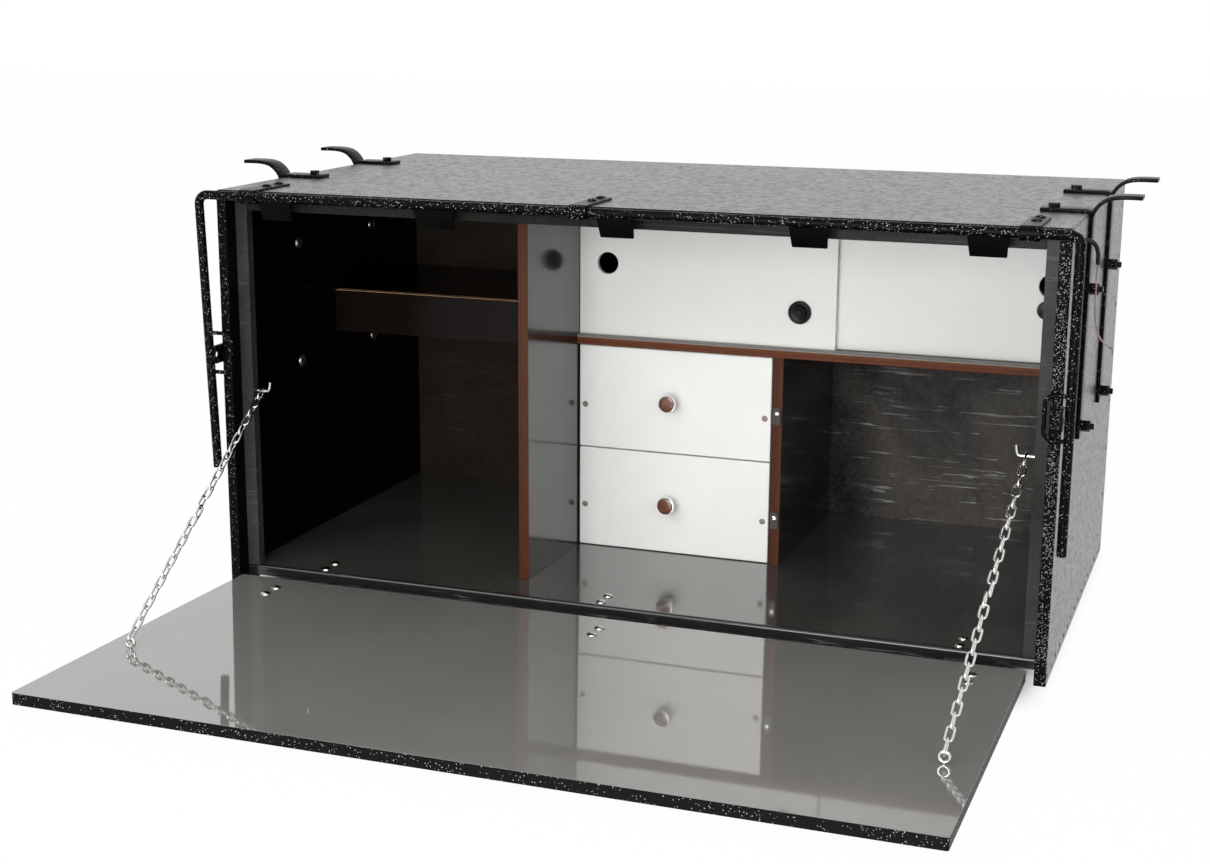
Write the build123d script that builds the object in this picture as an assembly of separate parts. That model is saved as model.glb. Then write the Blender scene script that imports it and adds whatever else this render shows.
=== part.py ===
from build123d import *
import math
import os

# Chuck box: a plywood camp kitchen cabinet with a drop-down work surface, a
# full-width lock bar, two drawers, two sliding doors and truck-bed brackets.
# Millimetres. While it is modelled, x = 0 is the middle of the box, y = 0 is the
# plane of the walls' front edges (+y goes to the back) and z = 0 is the ground.

# ---- carcass ----
WIDTH = 1168.0            # outside width over the walls
DEPTH = 644.0             # walls, front edge to back edge
HEIGHT = 576.0            # ground to the top of the top panel
PLY = 15.0                # plywood of walls, top, floor, dividers and shelves
EDGE_ROUND = 4.0          # rounded outer edges of the top panel
WALL_ROUND = 2.0          # rounded outer front edges of the walls
FLOOR_RISE = 12.0         # the floor panel stands this far above the wall bottoms
BACK_INSET = 17.0         # back panel, in from the walls' back edges
STRIP_FRONT = 25.3        # front face of the frame strips that the door closes against
STRIP_DEPTH = 14.7
STRIP_WIDTH = 18.0        # side strips, seen from the front
LIP_DEPTH = 6.0           # rounded strip along the floor's front edge
LIP_FRONT = 25.3

# ---- inside partitions ----
LEFT_DIVIDER_X = -156.0   # right-hand face of the left divider
LEFT_DIVIDER_FRONT = 100.0
RIGHT_DIVIDER_X = 143.0   # left-hand face of the right divider
RIGHT_DIVIDER_FRONT = 298.0
SHELF_TOP = 352.0         # cupboard shelf
SHELF_FRONT = 292.0
BAY_SHELF_TOP = 391.0     # shelf of the left bay
BAY_FASCIA_FRONT = 315.0
BAY_FASCIA_HEIGHT = 65.0

# ---- sliding doors ----
SLIDER_THICK = 9.0
SLIDER_FRONT = 303.0      # face of the left door, in the front groove
GROOVE_SIDE_GAP = 0.4     # each side of a door in its groove
GROOVE_SPACING = 12.0     # front face of the left door to front face of the right door
LOWER_GROOVE = 4.0
UPPER_GROOVE = 9.0
SLIDER_TOP_ENGAGED = 4.5  # the doors lift by this much and come out
SLIDER_FOOT_GAP = 0.3
LEFT_SLIDER_WIDTH = 386.0
RIGHT_SLIDER_WIDTH = 363.0
SLIDER_END_GAP = 0.7
FINGER_HOLE = 32.0
LEFT_HOLE_IN = 43.0       # hole centre from the left door's left end
RIGHT_HOLE_IN = 44.0      # hole centre from the right door's right end
HOLE_UP = 106.0           # hole centres above the shelf
LEFT_KNOB_IN = 52.0       # ringed knob from the left door's right end
LEFT_KNOB_UP = 51.0
LEFT_KNOB_DIA = 33.0
LEFT_KNOB_OUT = 8.0
RIGHT_KNOB_IN = 47.0
RIGHT_KNOB_UP = 75.0
RIGHT_KNOB_DIA = 25.0
RIGHT_KNOB_OUT = 20.0

# ---- drawers ----
DRAWER_FACE = 299.0       # front face of both drawer fronts
DRAWER_GAP = 2.0          # round a drawer front
DRAWER_SPLIT = 180.0      # height of the gap between the two drawers
DRAWER_BACK_GAP = 22.0    # drawer box to the back panel
DRAWER_BOX_PLY = 12.0
DRAWER_BASE = 6.0
DRAWER_BOX_DROP = 15.0    # box rim below the top of its front
DRAWER_BOX_LIFT = 9.0     # box underside above the bottom of its front
RAIL_ROOM = 13.0          # between a drawer box and the divider beside it
RAIL_END_GAP = 5.0        # rails to the back of the drawer box
RAIL_SHEET = 1.6
RAIL_HEIGHT = 24.0
RAIL_GAP = 0.5
RAIL_START = 1.0          # behind the drawer front
RAIL_LIP_GAP = 2.0        # channel lips to the drawer box
KNOB_X = -10.0
KNOB_DIA = 26.5
KNOB_OUT = 24.0
KNOB_STEM = 12.0
KNOB_RIM = 2.4
SCREW_IN = 9.0            # front screws from the front's side edges
SCREW_HEAD = 9.0
SCREW_PROUD = 1.0         # low enough for the latches to pass over them
SCREW_DROP = 13.0         # front screws below the middle of the front
KNOB_RISE = 2.0           # knobs above the middle of the front
FRONT_CHAMFER = 1.0
HOLE_CHAMFER = 1.0        # rims of the finger holes

# ---- turn latches on the right divider ----
LATCH_LONG = 26.0
LATCH_TALL = 12.0
LATCH_SHORT_END = 9.5     # screw centre to the blunt end
LATCH_SHEET = 3.0
LATCH_GAP = 0.3
LATCH_HEIGHTS = (98.0, 254.0)
LATCH_SCREW = 4.0
LATCH_SCREW_HEAD = 8.4
LATCH_SCREW_TALL = 2.0
SCREW_BURIED = 12.0

# ---- drop-down door ----
DOOR_PLY = 15.0
DOOR_TOP = 21.0           # work surface of the open door, were it level
DOOR_REAR = -7.0          # its hinged edge
DOOR_SIDE_GAP = 9.0       # door to wall, each side
DOOR_TOP_GAP = 2.8        # closed door to the top panel
DOOR_ROUND = 3.0
PIVOT_Y = 7.6             # hinge axis
PIVOT_Z = 3.6
DOOR_REST = 1.0           # degrees that the open door's front edge is held up
HINGE_CENTRES = (-466.0, -9.0, 483.5)
HINGE_DOOR_SIDES = (-1, 1, 1)
KNUCKLE_GAP = 1.0         # between the two leaves of a hinge
LEAF_WIDTH = 30.0
LEAF_SHEET = 3.0
FLOOR_LEAF_END = 84.0     # y of the back end of the floor leaves
DOOR_LEAF_LENGTH = 95.0   # from the hinge axis
LEAF_KNEE = 8.5           # from the hinge axis to the floor leaf's bend
KNUCKLE_RADIUS = 3.5
PIN_RADIUS = 1.5
PIN_GAP = 0.2
BOLT_DIA = 6.0
BOLT_HEAD_DIA = 14.0
BOLT_HEAD_TALL = 3.2
BOLT_GAP = 0.2            # round a shank, on the radius
FLOOR_BOLT_YS = (41.0, 70.0)
DOOR_BOLT_YS = (-50.0, -80.0)
THIN_NUT = 2.2
SMALL_NUT_ACROSS = 10.0
SMALL_NUT_TALL = 4.5
THREAD_END = 1.0          # a small bolt's end below its nut

# ---- chains ----
HOOK_HEIGHT = 287.0       # hook shank above the ground
HOOK_RADIUS = 2.2
HOOK_CHAIN_IN = 11.0      # the chain hangs this far from the strip's edge
HOOK_REACH = 22.0         # shank length in front of the strip's edge
HOOK_TIP = 13.0
HOOK_BEND = 4.5
HOOK_BURIED = 12.0
EYE_IN = 40.0             # from the door's side edge
EYE_BACK = 355.0          # eyes in front of the box, y = -355
EYE_INNER = 8.4
EYE_WIRE = 3.6
EYE_BURIED = 10.0
EYE_SHOULDER = 0.5        # eye ring above the door
LINK_WIRE = 3.0
LINK_INNER_WIDTH = 6.0
LINK_PITCH_AIM = 17.8
LINK_PLAY = 0.35
END_PLAY = 0.6            # of the end links on the hook and the eye
OPEN_PIVOT_STEP = 1.9     # sideways offset of each middle link

# ---- lock bar ----
BAR_DIA = 12.7
BAR_BEND = 13.0
BAR_GAP = 0.3             # bar in its rolled straps
BAR_LEFT_X = 605.5        # left arm, at the top
BAR_LEFT_LEAN = 13.0      # the left arm leans in by this much at its foot
BAR_RIGHT_X = 594.5
BAR_LEFT_FOOT = 180.0
BAR_RIGHT_FOOT = 175.0
STRAP_SHEET = 3.0
STRAP_WIDTH = 24.0
STRAP_END = 88.0
PLATE_ROUND = 4.0         # corners of the straps and the lock plates
STRAP_XS = (-526.0, -40.0, 535.0)
STRAP_BOLT_YS = (40.0, 74.0)
STRAP_BOLT_SHORT = 1.0    # bolt ends stay this far above the top panel's underside
CLAW_XS = (-488.0, -248.0, 9.0, 264.0, 485.0)
CLAW_WIDTHS = (50.0, 58.0, 50.0, 50.0, 50.0)
CLAW_SHEET = 4.0
CLAW_REACH = 30.0
CLAW_ANGLE = 37.0         # from straight down towards the box
CLAW_ROUND = 5.0
LOOP_WIRE = 5.6
LOOP_TOP = 375.0
LOOP_BOTTOM = 319.0
LOOP_INNER_X = 564.0      # wire centre of the loop's inner side
LOOP_BEND = 12.0
PLATE_SHEET = 3.0
PLATE_FRONT = 19.0        # in front of the walls
PLATE_BACK = 10.0
PLATE_LOW = 332.0
PLATE_HIGH = 358.0
PADLOCK_HOLE = 9.0
PADLOCK_HOLE_Y = -13.0

# ---- truck-bed brackets ----
BRACKET_SHEET = 5.0
BRACKET_WIDTH = 32.0
BRACKET_YS = {-1: (203.0, 443.0), 1: (182.0, 422.0)}  # each side as measured
BRACKET_DROP = 293.0      # foot below the top of the box
BRACKET_LEG = 62.0        # leg on the top panel, from the wall's outer face
HOOK_RISE_X = 23.0        # the hook's knee, outside the wall and above the top
HOOK_RISE_Z = 20.0
HOOK_WELD = 6.0           # the hook's root below the top
BRACKET_CORNER = 2.0
HOOK_TIP_X = 64.0
HOOK_TIP_Z = 24.0
BRACKET_BOLT_DROPS = (278.0, 98.0)  # bolts below the top of the box
BRACKET_BOLT_DIA = 8.0
BRACKET_STUD_OUT = 27.0   # bolt end beyond the bracket's face
DOME_DIA = 19.0
DOME_TALL = 4.5
NUT_ACROSS = 13.0
NUT_TALL = 6.5
LEG_BOLT_IN = 46.0        # leg bolts, in from the wall's outer face
LEG_BOLT_DIA = 8.0
LEG_HEAD_TALL = 5.3
LEG_BOLT_BELOW = 9.0      # below the top panel

# ---- electric lead ----
LEAD_EXIT_Y = 90.0
LEAD_EXIT_DROP = 24.0     # below the top of the box
GROMMET_DIA = 13.0
GROMMET_PROUD = 3.0
JACKET_DIA = 5.6
LEAD_DIA = 2.2
JACKET_ROUTE = ((0.0, 0.0, 0.0), (7.0, 0.0, 0.0), (12.5, 1.0, -4.5), (15.0, 2.6, -12.5),
                (14.8, 4.6, -21.5), (13.6, 6.6, -31.0))
LEAD_ROUTE = ((13.6, 6.6, -31.0), (12.1, 9.1, -42.9), (12.6, 10.2, -57.0), (14.2, 10.8, -72.0),
              (15.2, 11.8, -88.0), (16.0, 13.0, -104.0), (18.0, 14.6, -119.0),
              (23.0, 17.6, -131.0), (30.5, 22.4, -138.0))

# ---- worked out from the values above ----
X_OUT = WIDTH / 2
X_IN = X_OUT - PLY
FLOOR_TOP = FLOOR_RISE + PLY
TOP_UNDER = HEIGHT - PLY
BACK_FACE = DEPTH - BACK_INSET - PLY
SHELF_UNDER = SHELF_TOP - PLY
STRIP_EDGE = X_IN - STRIP_WIDTH
LEFT_BAY_X = LEFT_DIVIDER_X - PLY
DRAWER_BOX_DEPTH = BACK_FACE - DRAWER_BACK_GAP - DRAWER_FACE - PLY
RAIL_LENGTH = DRAWER_BOX_DEPTH - RAIL_START - RAIL_END_GAP
BAR_Z = HEIGHT - BAR_DIA / 2 - BAR_GAP
BAR_Y = -(BAR_DIA / 2 + BAR_GAP + STRAP_SHEET + BAR_GAP)
DOOR_UNDER = DOOR_TOP - DOOR_PLY
DOOR_LENGTH = TOP_UNDER - DOOR_TOP_GAP - (PIVOT_Z + PIVOT_Y - DOOR_REAR)
DOOR_HALF = X_IN - DOOR_SIDE_GAP
EYE_X = DOOR_HALF - EYE_IN
HOOK_CHAIN_X = STRIP_EDGE - HOOK_CHAIN_IN
BRACKET_FOOT = HEIGHT - BRACKET_DROP
BRACKET_BOLT_ZS = [HEIGHT - drop for drop in BRACKET_BOLT_DROPS]
LEAD_EXIT_Z = HEIGHT - LEAD_EXIT_DROP
DOOR_LEAF_UNDER = DOOR_UNDER - LEAF_SHEET
FLOOR_LEAF_UNDER = FLOOR_RISE - LEAF_SHEET
HOOK_Y = STRIP_FRONT + STRIP_DEPTH / 2
EYE_Z = DOOR_TOP + EYE_SHOULDER + 1.5 * EYE_WIRE + EYE_INNER
REST_TURN = math.radians(DOOR_REST)
Y_FRONT = (PIVOT_Y - (PIVOT_Y - DOOR_REAR + DOOR_LENGTH) * math.cos(REST_TURN)
           + (DOOR_UNDER - PIVOT_Z) * math.sin(REST_TURN))
Y_SHIFT = -(DEPTH + Y_FRONT) / 2


def block(x0, x1, y0, y1, z0, z1):
    """A box between two corners."""
    low = (min(x0, x1), min(y0, y1), min(z0, z1))
    size = (abs(x1 - x0), abs(y1 - y0), abs(z1 - z0))
    return Pos(*low) * Box(*size, align=(Align.MIN, Align.MIN, Align.MIN))


def rod(start, axis, length, radius):
    """A cylinder that starts at a point and runs along +x, -x, +y, -y, +z or -z."""
    plane = Plane(origin=start, z_dir=axis)
    return plane * Cylinder(radius, length, align=(Align.CENTER, Align.CENTER, Align.MIN))


def turned(start, axis, profile):
    """A turned piece: profile is (radius, distance along the axis), from the foot to the nose."""
    with_axis = [(0.0, profile[0][1])] + list(profile) + [(0.0, profile[-1][1])]
    outline = Polyline(*[(r, 0, h) for r, h in with_axis], close=True)
    body = revolve(make_face(outline), Axis.Z)
    return Plane(origin=start, z_dir=axis) * body


def hexagon(start, axis, across, height, hole):
    """A hexagon nut with its hole, standing on start."""
    plane = Plane(origin=start, z_dir=axis)
    flats = extrude(RegularPolygon(across / 2, 6, major_radius=False), height)
    bore = Cylinder(hole, height, align=(Align.CENTER, Align.CENTER, Align.MIN))
    return plane * (flats - bore)


def dome_bolt(start, axis, shank, length, head, tall):
    """A carriage bolt: the domed head stands back from start, the shank runs along axis."""
    back = tuple(-a for a in axis)
    cap = ((head / 2, 0.0), (head * 0.465, tall * 0.45), (head * 0.3, tall * 0.85), (head * 0.14, tall))
    return turned(start, back, cap) + rod(start, axis, length, shank / 2)


def mirrored(shape):
    """The same piece on the other side of the box."""
    return mirror(shape, Plane.YZ)


def tilted(shape):
    """Turns a level door piece about the hinge axis into the photographed pose."""
    return Pos(0, PIVOT_Y, PIVOT_Z) * Rot(-DOOR_REST, 0, 0) * Pos(0, -PIVOT_Y, -PIVOT_Z) * shape


def tilted_point(y, z):
    """Where a point of the level door lies in the photographed pose."""
    dy, dz = y - PIVOT_Y, z - PIVOT_Z
    return (PIVOT_Y + dy * math.cos(REST_TURN) + dz * math.sin(REST_TURN),
            PIVOT_Z - dy * math.sin(REST_TURN) + dz * math.cos(REST_TURN))


def bores(spots, axis, length, radius):
    """Drilled holes that start at the spots."""
    return [rod(spot, axis, length, radius) for spot in spots]


# ---- where the fasteners stand ----
def bracket_spots(side):
    """Bolt places of one side's brackets, on the inside face of the wall."""
    return [(side * X_IN, y, z) for y in BRACKET_YS[side] for z in BRACKET_BOLT_ZS]


def leg_spots():
    """Leg bolt places, on top of the bracket legs."""
    x = X_OUT - LEG_BOLT_IN
    return [(side * x, y, HEIGHT + BRACKET_SHEET) for side in (-1, 1) for y in BRACKET_YS[side]]


def strap_spots():
    """Bolt places of the bar straps, on top of the straps."""
    return [(x, y, HEIGHT + STRAP_SHEET) for x in STRAP_XS for y in STRAP_BOLT_YS]


def hinge_spots(door):
    """Bolt places of the hinge leaves: on the door, or else on the floor panel."""
    spots = []
    for centre, side in zip(HINGE_CENTRES, HINGE_DOOR_SIDES):
        x = centre + (side if door else -side) * (LEAF_WIDTH + KNUCKLE_GAP) / 2
        for y in (DOOR_BOLT_YS if door else FLOOR_BOLT_YS):
            spots.append((x, y, DOOR_TOP if door else FLOOR_TOP))
    return spots


# ---- carcass ----
def groove(front, low, high):
    """The slot that one sliding door runs in."""
    return block(LEFT_DIVIDER_X, X_IN, front - GROOVE_SIDE_GAP, front + SLIDER_THICK + GROOVE_SIDE_GAP,
                 low, high)


def top_panel():
    panel = block(-X_OUT, X_OUT, 0, DEPTH, TOP_UNDER, HEIGHT)
    panel = fillet(panel.edges().group_by(Axis.Z)[-1], EDGE_ROUND)
    for front in (SLIDER_FRONT, SLIDER_FRONT + GROOVE_SPACING):
        panel -= groove(front, TOP_UNDER, TOP_UNDER + UPPER_GROOVE)
    panel -= bores([(x, y, TOP_UNDER) for x, y, z in leg_spots()], (0, 0, 1), PLY,
                   LEG_BOLT_DIA / 2 + BOLT_GAP)
    panel -= bores([(x, y, TOP_UNDER) for x, y, z in strap_spots()], (0, 0, 1), PLY,
                   BOLT_DIA / 2 + BOLT_GAP)
    return panel


def side_wall(side):
    wall = block(X_IN, X_OUT, 0, DEPTH, 0, TOP_UNDER)
    corner = wall.edges().filter_by(Axis.Z).group_by(Axis.Y)[0].sort_by(Axis.X)[-1]
    wall = fillet(corner, WALL_ROUND)
    wall = wall if side > 0 else mirrored(wall)
    return wall - bores(bracket_spots(side), (side, 0, 0), PLY, BRACKET_BOLT_DIA / 2 + BOLT_GAP)


def back_panel():
    return block(-X_IN, X_IN, BACK_FACE, BACK_FACE + PLY, FLOOR_RISE, TOP_UNDER)


def floor_panel():
    panel = block(-X_IN, X_IN, LIP_FRONT + LIP_DEPTH, BACK_FACE, FLOOR_RISE, FLOOR_TOP)
    spots = [(x, y, FLOOR_RISE) for x, y, z in hinge_spots(False)]
    return panel - bores(spots, (0, 0, 1), PLY, BOLT_DIA / 2 + BOLT_GAP)


def floor_lip():
    strip = block(-X_IN, X_IN, LIP_FRONT, LIP_FRONT + LIP_DEPTH, FLOOR_RISE, FLOOR_TOP)
    nose = strip.edges().filter_by(Axis.X).group_by(Axis.Y)[0].sort_by(Axis.Z)[-1]
    return fillet(nose, LIP_DEPTH * 0.7)


def side_strips():
    strip = block(STRIP_EDGE, X_IN, STRIP_FRONT, STRIP_FRONT + STRIP_DEPTH, FLOOR_TOP, TOP_UNDER)
    hole = rod((STRIP_EDGE, HOOK_Y, HOOK_HEIGHT), (1, 0, 0), HOOK_BURIED, HOOK_RADIUS + BOLT_GAP)
    strip -= hole
    return [strip, mirrored(strip)]


def top_strip():
    return block(-STRIP_EDGE, STRIP_EDGE, STRIP_FRONT, STRIP_FRONT + STRIP_DEPTH, TOP_UNDER - PLY, TOP_UNDER)


def left_divider():
    return block(LEFT_BAY_X, LEFT_DIVIDER_X, LEFT_DIVIDER_FRONT, BACK_FACE, FLOOR_TOP, TOP_UNDER)


def right_divider():
    x = RIGHT_DIVIDER_X
    board = block(x, x + PLY, RIGHT_DIVIDER_FRONT, BACK_FACE, FLOOR_TOP, SHELF_UNDER)
    spots = [(x + PLY / 2, RIGHT_DIVIDER_FRONT, z) for z in LATCH_HEIGHTS]
    return board - bores(spots, (0, 1, 0), SCREW_BURIED, LATCH_SCREW / 2 + BOLT_GAP)


def cupboard_shelf():
    shelf = block(LEFT_DIVIDER_X, X_IN, SHELF_FRONT, BACK_FACE, SHELF_UNDER, SHELF_TOP)
    for front in (SLIDER_FRONT, SLIDER_FRONT + GROOVE_SPACING):
        shelf -= groove(front, SHELF_TOP - LOWER_GROOVE, SHELF_TOP)
    return shelf


def bay_shelf():
    return block(-X_IN, LEFT_BAY_X, BAY_FASCIA_FRONT + PLY, BACK_FACE, BAY_SHELF_TOP - PLY, BAY_SHELF_TOP)


def bay_fascia():
    low = BAY_SHELF_TOP - BAY_FASCIA_HEIGHT
    return block(-X_IN, LEFT_BAY_X, BAY_FASCIA_FRONT, BAY_FASCIA_FRONT + PLY, low, BAY_SHELF_TOP)


# ---- sliding doors ----
def slider(x0, width, front, hole_x):
    low = SHELF_TOP - LOWER_GROOVE + SLIDER_FOOT_GAP
    panel = block(x0, x0 + width, front, front + SLIDER_THICK, low, TOP_UNDER + SLIDER_TOP_ENGAGED)
    hole = rod((hole_x, front, SHELF_TOP + HOLE_UP), (0, 1, 0), SLIDER_THICK, FINGER_HOLE / 2)
    panel -= hole
    rims = panel.edges().filter_by(GeomType.CIRCLE)
    return chamfer(rims, HOLE_CHAMFER)


def left_slider_start():
    return LEFT_DIVIDER_X + SLIDER_END_GAP


def right_slider_start():
    return X_IN - SLIDER_END_GAP - RIGHT_SLIDER_WIDTH


def left_slider():
    x0 = left_slider_start()
    return slider(x0, LEFT_SLIDER_WIDTH, SLIDER_FRONT, x0 + LEFT_HOLE_IN)


def right_slider():
    x0 = right_slider_start()
    return slider(x0, RIGHT_SLIDER_WIDTH, SLIDER_FRONT + GROOVE_SPACING,
                  x0 + RIGHT_SLIDER_WIDTH - RIGHT_HOLE_IN)


def left_slider_knob():
    """A low round pull: an outer ring, a groove and a raised middle."""
    x = left_slider_start() + LEFT_SLIDER_WIDTH - LEFT_KNOB_IN
    r, out = LEFT_KNOB_DIA / 2, LEFT_KNOB_OUT
    profile = ((r, 0), (r, out * 0.6), (r - 1.5, out * 0.9), (r - 4.0, out * 0.9), (r - 5.0, out * 0.45),
               (r - 7.5, out * 0.45), (r - 8.5, out), (1.0, out))
    return turned((x, SLIDER_FRONT, SHELF_TOP + LEFT_KNOB_UP), (0, -1, 0), profile)


def right_slider_knob():
    x = right_slider_start() + RIGHT_SLIDER_WIDTH - RIGHT_KNOB_IN
    r, out = RIGHT_KNOB_DIA / 2, RIGHT_KNOB_OUT
    profile = ((r * 0.75, 0), (r * 0.5, out * 0.2), (r * 0.45, out * 0.4), (r * 0.9, out * 0.6),
               (r, out * 0.78), (r * 0.85, out * 0.95), (1.0, out))
    return turned((x, SLIDER_FRONT + GROOVE_SPACING, SHELF_TOP + RIGHT_KNOB_UP), (0, -1, 0), profile)


# ---- drawers ----
DRAWERS = {"top": (DRAWER_SPLIT + DRAWER_GAP / 2, SHELF_UNDER - DRAWER_GAP),
           "bottom": (FLOOR_TOP + DRAWER_GAP / 2, DRAWER_SPLIT - DRAWER_GAP / 2)}
BOX_X0 = LEFT_DIVIDER_X + RAIL_ROOM
BOX_X1 = RIGHT_DIVIDER_X - RAIL_ROOM


def drawer_front(low, high):
    x0, x1 = LEFT_DIVIDER_X + DRAWER_GAP, RIGHT_DIVIDER_X - DRAWER_GAP
    panel = block(x0, x1, DRAWER_FACE, DRAWER_FACE + PLY, low, high)
    return chamfer(panel.faces().sort_by(Axis.Y)[0].edges(), FRONT_CHAMFER)


def drawer_box(low, high):
    """The glued tray behind the front, open at the top."""
    y0 = DRAWER_FACE + PLY
    z0, z1 = low + DRAWER_BOX_LIFT, high - DRAWER_BOX_DROP
    tray = block(BOX_X0, BOX_X1, y0, y0 + DRAWER_BOX_DEPTH, z0, z1)
    wall = DRAWER_BOX_PLY
    return tray - block(BOX_X0 + wall, BOX_X1 - wall, y0 + wall, y0 + DRAWER_BOX_DEPTH - wall,
                        z0 + DRAWER_BASE, z1)


def drawer_knob(low, high):
    """A round knob: stem, shoulder and a face set in a raised rim."""
    r = KNOB_DIA / 2
    profile = ((KNOB_STEM / 2, 0), (KNOB_STEM / 2 - 1, KNOB_OUT * 0.45), (r - 1.5, KNOB_OUT * 0.72),
               (r, KNOB_OUT * 0.85), (r - 0.6, KNOB_OUT), (r - KNOB_RIM, KNOB_OUT),
               (r - KNOB_RIM - 0.6, KNOB_OUT * 0.95), (1.0, KNOB_OUT * 0.95))
    return turned((KNOB_X, DRAWER_FACE, (low + high) / 2 + KNOB_RISE), (0, -1, 0), profile)


def drawer_screws(low, high):
    """Pan heads at both sides of the front."""
    r = SCREW_HEAD / 2
    profile = ((r, 0), (r * 0.85, SCREW_PROUD * 0.7), (r * 0.5, SCREW_PROUD))
    x0, x1 = LEFT_DIVIDER_X + DRAWER_GAP + SCREW_IN, RIGHT_DIVIDER_X - DRAWER_GAP - SCREW_IN
    z = (low + high) / 2 - SCREW_DROP
    return [turned((x, DRAWER_FACE, z), (0, -1, 0), profile) for x in (x0, x1)]


def rail_height(low, high):
    return (low + DRAWER_BOX_LIFT + high - DRAWER_BOX_DROP) / 2


def moving_rails(low, high):
    """Runner bars on the tray's sides."""
    y0, z = DRAWER_FACE + PLY + RAIL_START, rail_height(low, high)
    half = RAIL_HEIGHT / 2 - RAIL_SHEET - RAIL_GAP
    thick = RAIL_ROOM - RAIL_SHEET - RAIL_GAP
    left = block(BOX_X0 - thick, BOX_X0, y0, y0 + RAIL_LENGTH, z - half, z + half)
    right = block(BOX_X1, BOX_X1 + thick, y0, y0 + RAIL_LENGTH, z - half, z + half)
    return [left, right]


def fixed_rails():
    """Folded channels screwed to the dividers, one pair a drawer."""
    rails = []
    y0 = DRAWER_FACE + PLY + RAIL_START
    reach = RAIL_ROOM - RAIL_LIP_GAP
    for low, high in DRAWERS.values():
        z = rail_height(low, high)
        for x, side in ((LEFT_DIVIDER_X, 1), (RIGHT_DIVIDER_X, -1)):
            half = RAIL_HEIGHT / 2
            channel = block(x, x + side * reach, y0, y0 + RAIL_LENGTH, z - half, z + half)
            channel -= block(x + side * RAIL_SHEET, x + side * reach, y0, y0 + RAIL_LENGTH,
                             z - half + RAIL_SHEET, z + half - RAIL_SHEET)
            rails.append(channel)
    return rails


# ---- turn latches ----
def latch(z):
    """A turn button, hanging down, so the drawer beside it is free."""
    x = RIGHT_DIVIDER_X + PLY / 2
    y1 = RIGHT_DIVIDER_FRONT - LATCH_GAP
    plate = block(x - LATCH_TALL / 2, x + LATCH_TALL / 2, y1 - LATCH_SHEET, y1,
                  z + LATCH_SHORT_END - LATCH_LONG, z + LATCH_SHORT_END)
    plate = fillet(plate.edges().filter_by(Axis.Y), LATCH_TALL * 0.4)
    return plate - rod((x, y1 - LATCH_SHEET, z), (0, 1, 0), LATCH_SHEET, LATCH_SCREW / 2 + BOLT_GAP)


def latch_screws():
    """Round-headed screws that the latches turn on."""
    screws = []
    y = RIGHT_DIVIDER_FRONT - LATCH_GAP * 2 - LATCH_SHEET
    for z in LATCH_HEIGHTS:
        start = (RIGHT_DIVIDER_X + PLY / 2, y, z)
        length = RIGHT_DIVIDER_FRONT - y + SCREW_BURIED
        screws.append(dome_bolt(start, (0, 1, 0), LATCH_SCREW, length, LATCH_SCREW_HEAD,
                                LATCH_SCREW_TALL))
    return screws


# ---- hinges and door ----
def leaf_profile(door):
    """Side view of a hinge leaf, with its knuckle, in the y-z plane."""
    knuckle = Pos(PIVOT_Y, PIVOT_Z) * Circle(KNUCKLE_RADIUS)
    if door:
        low, high = DOOR_LEAF_UNDER, DOOR_UNDER
        outline = Polyline((PIVOT_Y, low), (PIVOT_Y - DOOR_LEAF_LENGTH, low),
                           (PIVOT_Y - DOOR_LEAF_LENGTH, high), (PIVOT_Y, high), close=True)
    else:
        low, high = FLOOR_LEAF_UNDER, FLOOR_RISE
        knee, half = PIVOT_Y + LEAF_KNEE, LEAF_SHEET / 2
        outline = Polyline((PIVOT_Y, PIVOT_Z - half), (knee + half, low), (FLOOR_LEAF_END, low),
                           (FLOOR_LEAF_END, high), (knee, high), (PIVOT_Y, PIVOT_Z + LEAF_SHEET), close=True)
    return knuckle + make_face(outline) - Pos(PIVOT_Y, PIVOT_Z) * Circle(PIN_RADIUS + PIN_GAP)


def hinge_leaves(door):
    """One hinge's leaf for each hinge: the door's, or else the floor's."""
    leaves = []
    spots = hinge_spots(door)
    for number, (centre, side) in enumerate(zip(HINGE_CENTRES, HINGE_DOOR_SIDES)):
        away = side if door else -side
        start = centre + KNUCKLE_GAP / 2 if away > 0 else centre - KNUCKLE_GAP / 2 - LEAF_WIDTH
        leaf = extrude(Plane.YZ.offset(start) * leaf_profile(door), LEAF_WIDTH)
        low = DOOR_LEAF_UNDER if door else FLOOR_LEAF_UNDER
        holes = [(x, y, low) for x, y, z in spots[2 * number:2 * number + 2]]
        leaves.append(leaf - bores(holes, (0, 0, 1), LEAF_SHEET, BOLT_DIA / 2 + BOLT_GAP))
    return leaves


def hinge_pins():
    half = LEAF_WIDTH + KNUCKLE_GAP / 2
    return [rod((x - half, PIVOT_Y, PIVOT_Z), (1, 0, 0), 2 * half, PIN_RADIUS) for x in HINGE_CENTRES]


def floor_bolts():
    """Bolts and nuts that hold the hinges under the floor panel."""
    pieces = []
    nut = FLOOR_LEAF_UNDER - SMALL_NUT_TALL
    for x, y, z in hinge_spots(False):
        length = z - nut + THREAD_END
        pieces.append(dome_bolt((x, y, z), (0, 0, -1), BOLT_DIA, length, BOLT_HEAD_DIA, BOLT_HEAD_TALL))
        pieces.append(hexagon((x, y, nut), (0, 0, 1), SMALL_NUT_ACROSS, SMALL_NUT_TALL,
                              BOLT_DIA / 2 + BOLT_GAP))
    return pieces


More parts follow.
